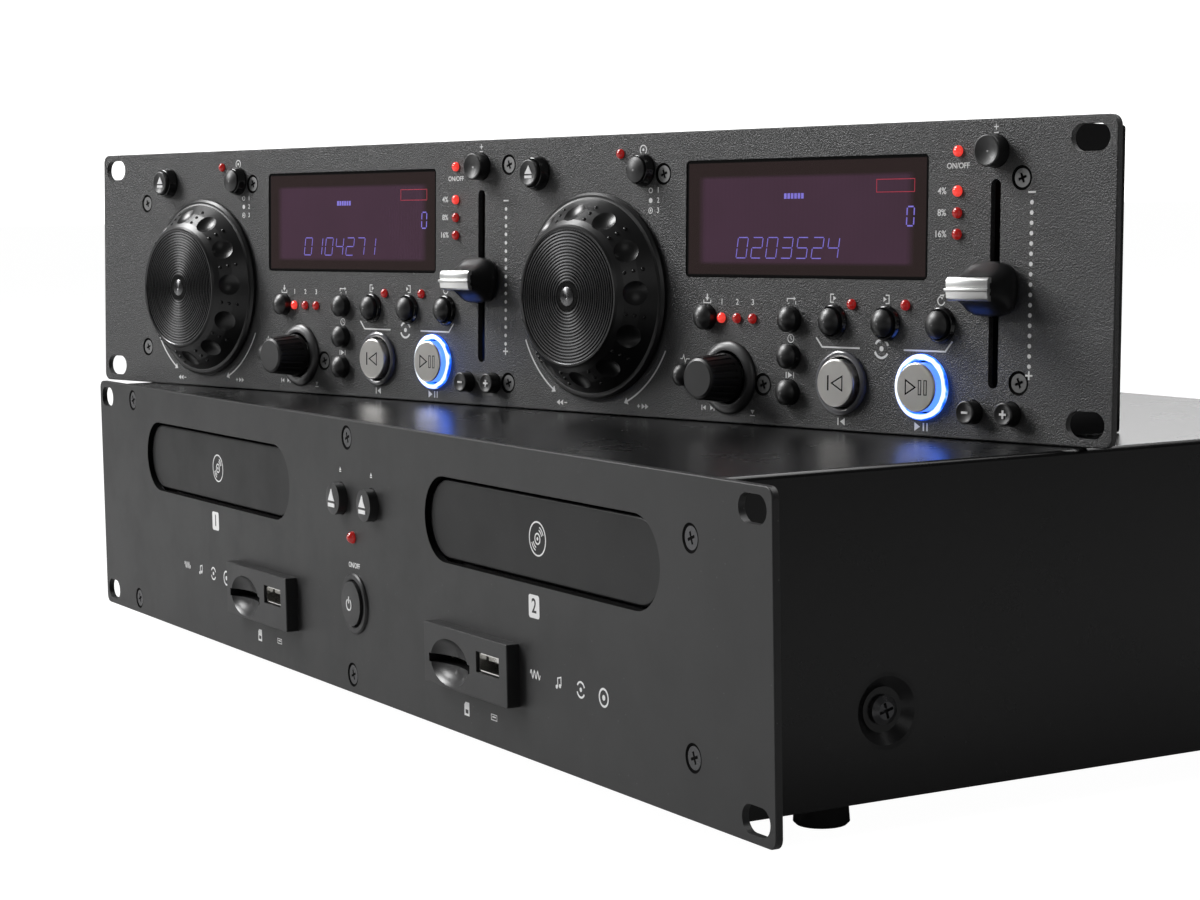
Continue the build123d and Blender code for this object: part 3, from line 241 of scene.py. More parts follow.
def newGroup(name, numbers, outs):
    # a shader group that takes coordinates and numbers and gives values
    tree = bpy.data.node_groups.new(name, "ShaderNodeTree")
    tree.interface.new_socket(name="Vector", in_out="INPUT", socket_type="NodeSocketVector")
    for key, value in numbers.items():
        sock = tree.interface.new_socket(name=key, in_out="INPUT", socket_type="NodeSocketFloat")
        sock.default_value = value
    for key in outs:
        tree.interface.new_socket(name=key, in_out="OUTPUT", socket_type="NodeSocketFloat")
    return tree, tree.nodes.new("NodeGroupInput").outputs, tree.nodes.new("NodeGroupOutput")


coatLook = {
    "cellSoftness": 0.7, "fineShare": 1.7, "toneScale": 9.0,
    # grain heights over which the painted highlight on the grain's tops comes in
    "paintedGrainGlintFrom": 0.42, "paintedGrainGlintTo": 0.75,
    "smudgeScale": 38.0, "smudgeFrom": 0.42, "smudgeTo": 0.7,
    "dustScale": 260.0, "dustSize": 0.055, "dustColor": (0.5, 0.5, 0.5),
}


def makeGrainGroup():
    # leathery powder-coat grain: a height for the bump and a slight change of tone
    tree, given, result = newGroup("coatGrain", {"Size mm": 0.8, "Roundness": 0.5}, ("Height", "Tone"))
    coords = given["Vector"]
    scale = mathNode(tree, "DIVIDE", 1000.0, given["Size mm"])
    cells = addNode(tree, "ShaderNodeTexVoronoi", feature="SMOOTH_F1")
    plug(tree, cells, {"Vector": coords, "Scale": scale, "Smoothness": coatLook["cellSoftness"]})
    fine = noise(tree, coords, mathNode(tree, "MULTIPLY", scale, coatLook["fineShare"]), Detail=2.0)
    mixed = addNode(tree, "ShaderNodeMix", data_type="FLOAT")
    plug(tree, mixed, {0: given["Roundness"], 2: fine, 3: cells.outputs["Distance"]})
    broad = noise(tree, coords, coatLook["toneScale"], Detail=3.0)
    plug(tree, result, {"Height": mixed.outputs[0], "Tone": broad})
    return tree


def makeSmudgeGroup():
    # faint handling marks and dust specks, for roughness and colour
    tree, given, result = newGroup("handlingMarks", {"Dust": 0.2}, ("Smudge", "Specks"))
    coords = given["Vector"]
    soft = noise(tree, coords, coatLook["smudgeScale"], Detail=5.0, Roughness=0.6)
    dots = addNode(tree, "ShaderNodeTexVoronoi", {"Vector": coords, "Scale": coatLook["dustScale"]})
    near = mathNode(tree, "LESS_THAN", dots.outputs["Distance"], coatLook["dustSize"])
    plug(tree, result, {
        "Smudge": spread(tree, soft, coatLook["smudgeFrom"], coatLook["smudgeTo"]),
        "Specks": mathNode(tree, "MULTIPLY", near, given["Dust"]),
    })
    return tree


grainGroup = makeGrainGroup()
smudgeGroup = makeSmudgeGroup()


# what a finish has unless it says otherwise
plainCoat = {
    "metal": 0.0, "specular": 0.5, "coat": 0.0, "coatRough": 0.1, "round": 0.5, "bump": 0.4, "depth": 0.05,
    "light": 1.25, "paintedGrainGlint": None, "dust": 0.15, "smudge": 0.08,
}


def coated(name, look):
    # a painted or moulded surface with grain, tone, smudges and dust, and where asked a painted highlight on
    # the grain's tops
    look = {**plainCoat, **look}
    base = look["color"]
    mat, tree, shader = newMaterial(name, base, look["rough"], look["metal"], look["coat"], look["specular"])
    coords = objectCoords(tree)
    grain = addNode(tree, "ShaderNodeGroup", node_tree=grainGroup)
    plug(tree, grain, {"Vector": coords, "Size mm": look["grain"], "Roundness": look["round"]})
    marks = addNode(tree, "ShaderNodeGroup", node_tree=smudgeGroup)
    plug(tree, marks, {"Vector": coords, "Dust": look["dust"]})
    height = grain.outputs["Height"]
    addBump(tree, shader, height, look["bump"], look["depth"])
    tone = mixColor(tree, grain.outputs["Tone"], base, tinted(base, look["light"]))
    # painted highlight: where asked, the grain's tops are made lighter for the glints of light on them
    if look["paintedGrainGlint"]:
        fine = spread(tree, height, coatLook["paintedGrainGlintFrom"], coatLook["paintedGrainGlintTo"])
        tone = mixColor(tree, fine, tone, tinted(base, look["paintedGrainGlint"]))
    plug(tree, shader, {
        "Base Color": mixColor(tree, marks.outputs["Specks"], tone, coatLook["dustColor"]),
        "Roughness": mathNode(tree, "MULTIPLY_ADD", marks.outputs["Smudge"], look["smudge"], look["rough"]),
        "Coat Roughness": look["coatRough"],
    })
    return mat


# grain is the size of a grain in mm, depth the bump's in mm; light multiplies the colour as random tone,
# paintedGrainGlint as a painted highlight on the grain's tops
finishes = {
    # controlPaint's grain tops get a painted highlight
    "controlPaint": {"color": (0.022, 0.022, 0.0224), "rough": 0.35, "grain": 0.5, "round": 0.3, "bump": 1.0,
                     "depth": 0.42, "specular": 0.58, "paintedGrainGlint": 2.6, "light": 1.5, "dust": 0.22},
    "drivePaint": {"color": (0.0195, 0.0195, 0.0198), "rough": 0.40, "grain": 0.25, "round": 0.3, "bump": 0.4,
                   "depth": 0.035, "specular": 0.40, "light": 1.25, "dust": 0.10},
    "coverPaint": {"color": (0.0035, 0.0035, 0.0038), "rough": 0.26, "grain": 0.35, "round": 0.4, "bump": 0.10,
                   "depth": 0.012, "specular": 0.42, "light": 1.3, "dust": 0.03, "smudge": 0.02},
    "buttonRubber": {"color": (0.008, 0.008, 0.0083), "rough": 0.36, "grain": 0.18, "bump": 0.25,
                     "depth": 0.02, "specular": 0.75, "dust": 0.05},
    "ringGloss": {"color": (0.006, 0.006, 0.0065), "rough": 0.16, "grain": 0.3, "bump": 0.06, "depth": 0.01,
                  "coat": 0.3, "coatRough": 0.06, "dust": 0.05},
    "ringSatin": {"color": (0.020, 0.020, 0.021), "rough": 0.36, "grain": 0.3, "bump": 0.06, "depth": 0.01,
                  "specular": 0.8, "coat": 0.3, "coatRough": 0.25, "dust": 0.0},
    "wheelGloss": {"color": (0.006, 0.006, 0.0063), "rough": 0.31, "grain": 0.3, "bump": 0.04, "depth": 0.005,
                   "specular": 0.6, "dust": 0.0, "smudge": 0.03},
    "faderPlastic": {"color": (0.009, 0.009, 0.0095), "rough": 0.30, "grain": 0.2, "bump": 0.1, "depth": 0.006,
                     "dust": 0.0, "smudge": 0.03},
    "bezelPlastic": {"color": (0.009, 0.009, 0.0095), "rough": 0.32, "grain": 0.22, "bump": 0.25,
                     "depth": 0.02, "dust": 0.05},
    # the doors' plastic is darker than the panel paint, partly its own colour and partly painted shade for the
    # sunk doors
    "trayPlastic": {"color": (0.0065, 0.0065, 0.0067), "rough": 0.36, "grain": 0.25, "bump": 0.2,
                    "depth": 0.015, "specular": 0.26, "dust": 0.05},
    "footRubber": {"color": (0.008, 0.008, 0.008), "rough": 0.75, "grain": 0.35, "bump": 0.5, "depth": 0.05,
                   "dust": 0.3},
    "darkMoulding": {"color": (0.014, 0.014, 0.015), "rough": 0.5, "grain": 0.4, "bump": 0.4, "depth": 0.03},
    # painted shade: a near-black for the cut marks on the caps, the screw recesses and seats, and the gap
    # round the tray doors
    "paintedShadeBlack": {"color": (0.0012, 0.0012, 0.0012), "rough": 0.85, "grain": 0.3, "bump": 0.2, "depth": 0.01,
                    "specular": 0.06, "dust": 0.0},
    "zincSheet": {"color": (0.42, 0.43, 0.45), "rough": 0.36, "grain": 2.5, "round": 0.9, "bump": 0.12,
                  "depth": 0.03, "metal": 1.0, "light": 1.35},
    "blackScrew": {"color": (0.07, 0.07, 0.073), "rough": 0.24, "grain": 0.3, "bump": 0.15, "depth": 0.02,
                   "metal": 0.8},
    "plainScrew": {"color": (0.22, 0.22, 0.22), "rough": 0.38, "grain": 0.3, "bump": 0.2, "depth": 0.02,
                   "metal": 0.9},
    "nickel": {"color": (0.72, 0.71, 0.68), "rough": 0.2, "grain": 0.4, "bump": 0.1, "depth": 0.01,
               "metal": 1.0},
    "boardLaquer": {"color": (0.02, 0.12, 0.05), "rough": 0.34, "grain": 1.2, "bump": 0.3, "depth": 0.05,
                    "coat": 0.3},
    "darkLaquer": {"color": (0.004, 0.006, 0.005), "rough": 0.4, "grain": 1.2, "bump": 0.3, "depth": 0.05},
    "barMetal": {"color": (0.80, 0.80, 0.79), "rough": 0.30, "grain": 0.12, "bump": 0.2, "depth": 0.01,
                 "metal": 1.0, "light": 1.05, "dust": 0.0},
    "clearRing": {"color": (0.10, 0.10, 0.108), "rough": 0.14, "grain": 0.6, "bump": 0.08, "depth": 0.01,
                  "coat": 0.5, "coatRough": 0.05, "light": 1.9, "dust": 0.0},
    "ink": {"color": (0.80, 0.80, 0.80), "rough": 0.5, "grain": 0.2, "bump": 0.2, "depth": 0.01, "dust": 0.0,
            "light": 1.05},
}
mats = {name: coated(name, look) for name, look in finishes.items()}


turnedLook = {
    "marks": (3.0, 420.0, 1.0), "markBump": 0.12, "markDepth": 0.01,
    "capColor": (0.80, 0.78, 0.75), "capRough": 0.37,
    "discColor": (0.16, 0.16, 0.163), "discRough": 0.27,
    "anisotropy": 0.8,
    # first groove's radius and the grooves' pitch in mm, share of a ridge, colour between the ridges as
    # painted shade in the grooves
    "grooves": {"first": 4.8, "pitch": 1.0, "ridge": 0.3, "soft": 0.25, "floor": (0.03, 0.03, 0.03)},
}


def makeTurnedMetal(name, color, roughness, grooves=None):
    # fine turning marks round the axis, read from the piece's own UV map
    look = turnedLook
    mat, tree, shader = newMaterial(name, color, roughness, 1.0)
    uv = addNode(tree, "ShaderNodeUVMap", uv_map="turned").outputs["UV"]
    tangent = addNode(tree, "ShaderNodeTangent", direction_type="UV_MAP", uv_map="turned").outputs["Tangent"]
    stretch = addNode(tree, "ShaderNodeMapping", {"Vector": uv, "Scale": look["marks"]})
    lines = noise(tree, stretch.outputs["Vector"], 1.0, Detail=3.0)
    span = {"Value": lines, "To Min": roughness * 0.75, "To Max": roughness * 1.3}
    tone = mixColor(tree, lines, tinted(color, 0.82), tinted(color, 1.12))
    if grooves:
        # painted shade in the grooves, at the same radii as the cut ones, leaves the ridges bright between
        # them
        first, pitch, ridge = (grooves[key] for key in ("first", "pitch", "ridge"))
        split = addNode(tree, "ShaderNodeSeparateXYZ", {0: uv})
        reach = mathNode(tree, "MULTIPLY", split.outputs["Y"], turnedReach / pitch)
        phase = mathNode(tree, "FRACT", mathNode(tree, "SUBTRACT", reach, first / pitch))
        away = mathNode(tree, "ABSOLUTE", mathNode(tree, "SUBTRACT", phase, 0.5))
        # painted shade: the groove floors are darkened
        dark = spread(tree, mathNode(tree, "MULTIPLY", away, 2.0), ridge, ridge + grooves["soft"])
        zone = mathNode(tree, "GREATER_THAN", reach, (first - 0.4) / pitch)
        tone = mixColor(tree, mathNode(tree, "MULTIPLY", dark, zone), tone, grooves["floor"])
    plug(tree, shader, {
        "Base Color": tone,
        "Roughness": addNode(tree, "ShaderNodeMapRange", span).outputs["Result"],
        "Anisotropic": look["anisotropy"],
        "Anisotropic Rotation": 0.25,        # the marks run round, so light spreads outwards
        "Tangent": tangent,
    })
    addBump(tree, shader, lines, look["markBump"], look["markDepth"])
    return mat


mats["turnedCap"] = makeTurnedMetal("turnedCap", turnedLook["capColor"], turnedLook["capRough"])
mats["turnedDisc"] = makeTurnedMetal(
    "turnedDisc", turnedLook["discColor"], turnedLook["discRough"], turnedLook["grooves"]
)


def makeGlow(name, baseDark, baseLight, glowDark, glowLight, strength, scale, gloss=(0.3, 0.0)):
    # a piece lit from inside, a little uneven
    mat, tree, shader = newMaterial(name, baseLight, gloss[0], 0.0, gloss[1])
    spots = noise(tree, objectCoords(tree), scale)
    plug(tree, shader, {
        "Base Color": mixColor(tree, spots, baseDark, baseLight),
        "Emission Color": mixColor(tree, spots, glowDark, glowLight),
        "Emission Strength": strength,
    })
    return mat


# name: plastic's colour, glow, strength
lensLook = {
    "lensLit": ((0.7, 0.03, 0.025), (1.0, 0.045, 0.03), 0.75),
    "lensDark": ((0.30, 0.008, 0.006), (0.55, 0.01, 0.008), 0.25),
}
segmentLook = {
    "segmentViolet": ((0.20, 0.17, 0.62), (0.15, 0.10, 0.50), 0.62),
    "segmentRed": ((0.45, 0.03, 0.06), (0.32, 0.02, 0.05), 0.42),
}
for name, (color, glow, strength) in lensLook.items():
    mats[name] = makeGlow(name, tinted(color, 0.6), tinted(color, 1.5), glow, tinted(glow, 1.3, 0.02),
                          strength, 900.0, (0.12, 0.6))
for name, (color, edge, strength) in segmentLook.items():
    mats[name] = makeGlow(name, tinted(color, 0.5), color, edge, color, strength, 240.0)

glassLook = {
    "middle": (22.9, 17.4),        # window centre in a deck's frame, mm
    "windowHalf": (95.1 / 2, 35.2 / 2),
    "halfWidth": 42.5, "halfHeight": 13.4, "drop": 0.5,
    "clear": (0.020, 0.013, 0.013), "tube": (0.040, 0.022, 0.037),
    "clearGlow": (0.012, 0.0075, 0.0070), "tubeGlow": (0.034, 0.016, 0.026),
    "rim": 0.75,                   # width of the black edge, mm
    "black": (0.002, 0.002, 0.002),
    "weaveScale": 190.0, "weaveShare": 0.05, "fogScale": 45.0, "fogShare": 0.4, "least": 0.72,
}


def makeDisplayGlass():
    # smoked windows: the tube's area shows lighter and more violet, the edge is printed black
    look = glassLook
    mat, tree, shader = newMaterial("displayGlass", look["clear"], 0.07, 0.0, 0.5)
    local = panelCoords(tree, controlFrame @ at(*look["middle"]))
    split = addNode(tree, "ShaderNodeSeparateXYZ", {0: local}).outputs
    fromDeck = mathNode(tree, "SUBTRACT", mathNode(tree, "ABSOLUTE", split["X"]), deckShift)
    across = mathNode(tree, "ABSOLUTE", fromDeck)
    upward = mathNode(tree, "ABSOLUTE", mathNode(tree, "ADD", split["Y"], look["drop"] * mm))

    def inside(value, half, soft):
        left = mathNode(tree, "SUBTRACT", half * mm, value)
        return mathNode(tree, "DIVIDE", left, soft * mm, clamp=True)

    tube = inside(upward, look["halfHeight"], 1.2)
    tube = mathNode(tree, "MULTIPLY", inside(across, look["halfWidth"], 3.0), tube)
    wide, high = (half - look["rim"] for half in look["windowHalf"])
    bare = inside(mathNode(tree, "ABSOLUTE", split["Y"]), high, 0.3)
    bare = mathNode(tree, "MULTIPLY", inside(across, wide, 0.3), bare)
    weave = addNode(tree, "ShaderNodeTexWave", wave_type="BANDS", bands_direction="X")
    plug(tree, weave, {"Vector": local, "Scale": look["weaveScale"], "Distortion": 0.6})
    fog = mathNode(tree, "MULTIPLY", noise(tree, local, look["fogScale"]), look["fogShare"])
    cloth = mathNode(tree, "MULTIPLY_ADD", weave.outputs["Fac"], look["weaveShare"], look["least"])
    lift = mathNode(tree, "MULTIPLY", tube, mathNode(tree, "ADD", cloth, fog, clamp=True))
    base = mixColor(tree, lift, look["clear"], look["tube"])
    glow = mixColor(tree, lift, look["clearGlow"], look["tubeGlow"])
    plug(tree, shader, {
        "Base Color": mixColor(tree, bare, look["black"], base),
        "Emission Color": mixColor(tree, bare, (0, 0, 0), glow),
        "Emission Strength": 1.0,
        "Coat Roughness": 0.03,
    })
    return mat


mats["displayGlass"] = makeDisplayGlass()

ringLight = {
    "inner": 7.5, "outer": 9.4,    # mm
    "patchScale": 230.0, "patchShare": 0.7, "patchShift": -0.37,
    "stops": ((0.0, (0.005, 0.05, 0.42)), (0.12, (0.02, 0.16, 0.80)), (0.30, (0.40, 0.44, 0.48)),
              (0.80, (0.42, 0.45, 0.48)), (0.92, (0.02, 0.14, 0.75)), (1.0, (0.004, 0.04, 0.38))),
    "spill": (0.07, 0.20, 1.0), "strength": 2.6,
}


def makeLightRing():
    # the lit ring: white along its middle, blue at both edges, patchy round the circle
    look = ringLight
    mat, tree, shader = newMaterial("playRingLit", (0.5, 0.6, 0.9), 0.25)
    uv = addNode(tree, "ShaderNodeUVMap", uv_map="turned").outputs["UV"]
    split = addNode(tree, "ShaderNodeSeparateXYZ", {0: uv})
    reach = spread(tree, split.outputs["Y"], look["inner"] / turnedReach, look["outer"] / turnedReach)
    patch = noise(tree, objectCoords(tree), look["patchScale"])
    shifted = mathNode(tree, "MULTIPLY_ADD", patch, look["patchShare"], look["patchShift"])
    place = mathNode(tree, "ADD", reach, shifted, clamp=True)
    ramp = addNode(tree, "ShaderNodeValToRGB", {"Fac": place})
    for spot, color in look["stops"][2:]:
        ramp.color_ramp.elements.new(spot)
    for element, (spot, color) in zip(ramp.color_ramp.elements, look["stops"]):
        element.position = spot
        element.color = (*color, 1)
    rays = addNode(tree, "ShaderNodeLightPath")
    plug(tree, shader, {
        "Base Color": ramp.outputs["Color"],
        "Emission Color": mixColor(tree, rays.outputs["Is Camera Ray"], look["spill"], ramp.outputs["Color"]),
        "Emission Strength": look["strength"],
    })
    return mat


mats["playRingLit"] = makeLightRing()
print("materials made")

# by a node's name without its number; every other node is button rubber
nodeFinish = {
    "drive_faceplate": "drivePaint",
    "drive_chassis": "zincSheet",
    "drive_cover": "coverPaint",
    "rubber_feet": "footRubber",
    "drive_screws": "blackScrew",
    "faceplate_fittings": "bezelPlastic",
    "media_sockets": "nickel",
    "disc_mechanisms": "darkMoulding",
    "drive_boards": "boardLaquer",
    "rear_connectors": "darkMoulding",
    "disc_tray": "trayPlastic",
    "control_faceplate": "controlPaint",
    "control_housing": "coverPaint",
    "display_windows": "displayGlass",
    "control_boards": "darkLaquer",
    "trim_rings": "ringGloss",
    "control_lamps": "lensDark",
    "control_screws": "plainScrew",
    "jog_wheel": "ringGloss",
    "track_shaft": "nickel",
    "pitch_slider": "bezelPlastic",
    "cue_button": "plainScrew",
    "play_button": "plainScrew",
}
for name, node in nodes.items():
    node.data.materials.clear()
    node.data.materials.append(mats[nodeFinish.get(name.rstrip("_12"), "buttonRubber")])
print("CAD nodes painted")


def strokeOutline(points, width, closed=False):
    # both edges of a line with mitred corners
    pts = [Vector((x, y)) for x, y in points]
    count = len(pts)
    left, right = [], []
    for i, p in enumerate(pts):
        before = pts[(i - 1) % count] if closed or i > 0 else None
        after = pts[(i + 1) % count] if closed or i < count - 1 else None
        a = (p - before).normalized() if before is not None else (after - p).normalized()
        b = (after - p).normalized() if after is not None else a
        normal = Vector((-(a + b).y, (a + b).x)).normalized()
        reach = width / 2 / max(0.35, normal.dot(Vector((-a.y, a.x))))
        left.append(p + normal * reach)
        right.append(p - normal * reach)
    if closed:
        return [left, right]
    return [left + right[::-1]]


def arcPoints(cx, cy, r, start, end, steps=24):
    turns = [math.radians(start + (end - start) * i / steps) for i in range(steps + 1)]
    return [(cx + r * math.cos(turn), cy + r * math.sin(turn)) for turn in turns]


def disc(cx, cy, r, steps=20):
    return [[Vector(p) for p in arcPoints(cx, cy, r, 0, 360, steps)[:-1]]]


def ring(cx, cy, r, width, steps=28):
    return disc(cx, cy, r + width / 2, steps) + disc(cx, cy, r - width / 2, steps)


def shape(*points):
    return [[Vector(p) for p in points]]


def line(width, *points):
    return strokeOutline(points, width)


def arc(width, r, start, end, steps):
    return strokeOutline(arcPoints(0, 0, r, start, end, steps), width)


def chevron(x, y, size, way):
    left, right = x - way * size / 2, x + way * size / 2
    return shape((left, y - size * 0.6), (right, y), (left, y + size * 0.6))


def plus(x, y, size, width):
    h, w = size / 2, width / 2
    corners = ((-w, h), (w, h), (w, w), (h, w), (h, -w), (w, -w),
               (w, -h), (-w, -h), (-w, -w), (-h, -w), (-h, w), (-w, w))
    return shape(*((x + a, y + b) for a, b in corners))


def inkMesh(name, outlines, mat, thick=0.03, place=None):
    # closed outlines in mm, filled and given a thickness; nested ones are holes
    curve = bpy.data.curves.new(name, "CURVE")
    curve.dimensions = "2D"
    curve.fill_mode = "BOTH"
    curve.extrude = thick * mm
    for outline in outlines:
        spline = curve.splines.new("POLY")
        spline.points.add(len(outline) - 1)
        for point, p in zip(spline.points, outline):
            point.co = (p[0] * mm, p[1] * mm, 0, 1)
        spline.use_cyclic_u = True
    obj = bpy.data.objects.new(name, curve)
    bpy.context.scene.collection.objects.link(obj)
    pick(obj)
    bpy.ops.object.convert(target="MESH")
    obj = bpy.context.object
    obj.data.materials.clear()
    obj.data.materials.append(mat)
    return obj if place is None else moveMesh(obj, place)


def numeral(name, text, x, y, height, mat, thick=0.03):
    clearSelection()
    bpy.ops.object.text_add()
    letters = bpy.context.object.data
    letters.body = text
    letters.size = height * mm * 1.38
    letters.extrude = thick * mm
    letters.offset = height * mm * 0.02
    letters.align_x = letters.align_y = "CENTER"
    bpy.ops.object.convert(target="MESH")
    return moveMesh(nameIt(name, mat), at(x, y))


# plain pictograms about 3 mm tall, as outlines round their own middle
icons = {
    "eject": shape((-1.3, -0.25), (1.3, -0.25), (0, 1.75))
    + shape((-1.3, -1.3), (1.3, -1.3), (1.3, -0.65), (-1.3, -0.65)),
    "wheel": ring(0, 0, 1.25, 0.32) + disc(0, 0, 0.42, 12),
    "source": shape((-0.25, 1.3), (0.25, 1.3), (0.25, 0.3), (0.8, 0.3), (0, -0.7), (-0.8, 0.3), (-0.25, 0.3))
    + line(0.3, (-1.4, -0.4), (-1.4, -1.3), (1.4, -1.3), (1.4, -0.4)),
    "repeat": line(0.32, (-1.7, -0.1), (-1.7, 0.85), (0.9, 0.85)) + shape((0.9, 0.3), (0.9, 1.4), (1.8, 0.85))
    + line(0.32, (1.7, 0.1), (1.7, -0.85), (-0.9, -0.85)) + shape((-0.9, -0.3), (-0.9, -1.4), (-1.8, -0.85)),
    "clock": ring(0, 0, 1.25, 0.28) + line(0.24, (0, 0.85), (0, 0), (0.6, -0.35)),
    "single": line(0.34, (-1.5, 0.9), (-1.5, -0.9)) + line(0.34, (1.5, 0.9), (1.5, -0.9))
    + shape((-0.8, 0.9), (0.9, 0), (-0.8, -0.9)),
    "loopIn": line(0.32, (0.2, 1.1), (-1.0, 1.1), (-1.0, -1.1), (0.2, -1.1)) + chevron(0.5, 0, 1.1, 1),
    "loopOut": line(0.32, (-0.2, 1.1), (1.0, 1.1), (1.0, -1.1), (-0.2, -1.1)) + chevron(-0.4, 0, 1.1, 1),
    "reloop": arc(0.32, 1.15, 60, 345, 20) + shape((0.3, 0.35), (1.1, 1.75), (-0.5, 1.6)),
    "pulse": line(0.3, (-2.0, 0), (-1.1, 0), (-0.6, 1.1), (0.1, -1.1), (0.6, 0), (2.0, 0)),
    "skip": line(0.3, (-2.6, 0.8), (-2.6, -0.8)) + chevron(-1.6, 0, 1.2, -1) + chevron(1.6, 0, 1.2, 1)
    + line(0.3, (2.6, 0.8), (2.6, -0.8)),
    "push": shape((-0.8, 0.9), (0.8, 0.9), (0, -0.3)) + line(0.3, (-1.0, -0.8), (1.0, -0.8)),
    "start": line(0.34, (-1.1, 0.95), (-1.1, -0.95)) + chevron(0.4, 0, 1.6, -1),
    "playPause": chevron(-1.4, 0, 1.7, 1) + line(0.42, (0.5, 0.95), (0.5, -0.95))
    + line(0.42, (1.6, 0.95), (1.6, -0.95)),
    "rewind": chevron(-1.5, 0, 1.4, -1) + chevron(0.0, 0, 1.4, -1) + line(0.3, (1.3, 0), (2.5, 0)),
    "forward": plus(-2.0, 0, 1.2, 0.3) + chevron(0.0, 0, 1.4, 1) + chevron(1.5, 0, 1.4, 1),
    "plusMinus": plus(0, 0.5, 1.6, 0.32) + line(0.32, (-0.8, -1.1), (0.8, -1.1)),
    "disc": ring(0, 0, 4.3, 0.42, 40) + ring(0, 0, 1.35, 0.42, 24) + disc(0, 0, 0.45, 12)
    + arc(0.36, 3.2, 20, 70, 10) + arc(0.36, 2.4, 20, 70, 10)
    + arc(0.36, 3.2, 200, 250, 10) + arc(0.36, 2.4, 200, 250, 10),
    "card": shape((-1.9, -2.4), (1.9, -2.4), (1.9, 2.4), (-0.9, 2.4), (-1.9, 1.4))
    + shape((-1.1, -1.6), (1.1, -1.6), (1.1, -0.2), (-1.1, -0.2)),
    "port": strokeOutline(((-2.2, -1.0), (-2.2, 1.0), (2.2, 1.0), (2.2, -1.0)), 0.3, True)
    + shape((-1.4, -0.1), (1.4, -0.1), (1.4, 0.4), (-1.4, 0.4)),
    "wave": line(0.42, *((-3.2 + i * 0.32, 1.2 * math.sin(i * 0.95)) for i in range(21))),
    "note": line(0.4, (-0.5, -1.0), (-0.5, 1.5), (1.5, 2.0), (1.5, -0.5)) + disc(-1.15, -1.1, 0.62, 14)
    + disc(0.85, -0.65, 0.62, 14),
    "turns": arc(0.45, 1.7, 20, 150, 14) + arc(0.45, 1.7, 200, 330, 14) + disc(0, 0, 0.5, 12),
}


def icon(kind, x, y, s=1.0):
    return [[(x + p[0] * s, y + p[1] * s) for p in outline] for outline in icons[kind]]


jogSpotInDeck = (-65.2, -6.8)
printing = {
    "height": 0.03,           # mm above the paint
    "iconScale": 1.32,
    # kind, x and y in a deck's own frame, size
    "icons": (
        ("plusMinus", 94.0, 41.3, 0.75), ("wheel", -43.6, 38.9, 0.85), ("source", -15.3, -6.6, 0.8),
        ("repeat", 19.3, -7.0, 0.75), ("clock", 19.2, -17.9, 0.72), ("single", 19.0, -28.7, 0.75),
        ("loopIn", 35.7, -5.8, 0.8), ("loopOut", 55.7, -5.8, 0.8), ("reloop", 75.7, -5.9, 0.8),
        ("turns", 54.2, -19.9, 1.15), ("pulse", -24.6, -25.3, 0.75), ("skip", -14.6, -39.9, 0.75),
        ("push", 4.0, -40.6, 0.75), ("start", 39.3, -41.4, 0.85), ("playPause", 69.4, -41.4, 0.9),
        ("rewind", -80.6, -41.2, 0.8), ("forward", -42.8, -40.8, 0.8),
    ),
    # text, x, y, height
    "words": (
        ("1", -36.9, 26.3, 1.7), ("2", -36.9, 23.2, 1.7), ("3", -36.9, 20.1, 1.7), ("1", -9.1, -7.6, 1.8),
        ("2", -2.7, -7.6, 1.8), ("3", 3.7, -7.6, 1.8), ("4%", 75.4, 24.5, 1.9), ("8%", 75.4, 18.5, 1.9),
        ("16%", 75.0, 12.6, 1.9), ("ON/OFF", 81.0, 31.4, 1.6),
    ),
    "arcRadius": 36.0, "arcWidth": 0.55, "arcs": ((204, 237, 2.6), (-27, -65, -2.6)), "arrowHalf": 1.2,
    "loopLines": (((29.2, -17.3), (31.6, -20.0), (46.0, -20.0)),
                  ((62.4, -20.0), (77.4, -20.0), (79.9, -17.1))),
    "scaleX": 106.45, "scaleMiddle": -1.0, "scaleDots": 17, "scalePitch": 2.77, "dotRadius": 0.62,
    "legendX": -40.2, "legendRows": (26.3, 23.2, 20.1),
}


def deckPrint(deck):
    look = printing
    marks = []
    for kind, x, y, size in look["icons"]:
        marks += icon(kind, x, y, size * look["iconScale"])
    x, y = jogSpotInDeck
    r, half = look["arcRadius"], look["arrowHalf"]
    for start, end, head in look["arcs"]:
        marks += strokeOutline(arcPoints(x, y, r, start, end), look["arcWidth"])
        base, tip = math.radians(end), math.radians(end + head)
        corners = ((r - half, base), (r + half, base), (r, tip))
        marks += shape(*((x + reach * math.cos(turn), y + reach * math.sin(turn)) for reach, turn in corners))
    for points in look["loopLines"]:
        marks += line(0.5, *points)
    x = look["scaleX"]
    for i in range(look["scaleDots"]):
        y = look["scaleMiddle"] + (i - (look["scaleDots"] - 1) / 2) * look["scalePitch"]
        marks += disc(x, y, look["dotRadius"], 14)
    marks += line(0.5, (105.2, 23.9), (107.7, 23.9)) + plus(x, -25.6, 2.4, 0.5)
    # legend beside the wheel: ring, dot, and dot in a ring, each with a number
    x, (top, middle, low) = look["legendX"], look["legendRows"]
    marks += ring(x, top, 0.75, 0.25, 18) + disc(x, middle, 0.8, 16)
    marks += ring(x, low, 0.85, 0.25, 18) + disc(x, low, 0.35, 10)
    parts = [inkMesh(f"deckMarks{deck + 1}", marks, mats["ink"], look["height"])]
    for i, (text, x, y, height) in enumerate(look["words"]):
        parts.append(numeral(f"mark{deck}{i}", text, x, y, height, mats["ink"], look["height"]))
    obj = joinAll(parts, f"deck_printing_{deck + 1}")
    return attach(moveMesh(obj, deckFrames[deck]), "control_unit")


for deck in range(2):
    deckPrint(deck)

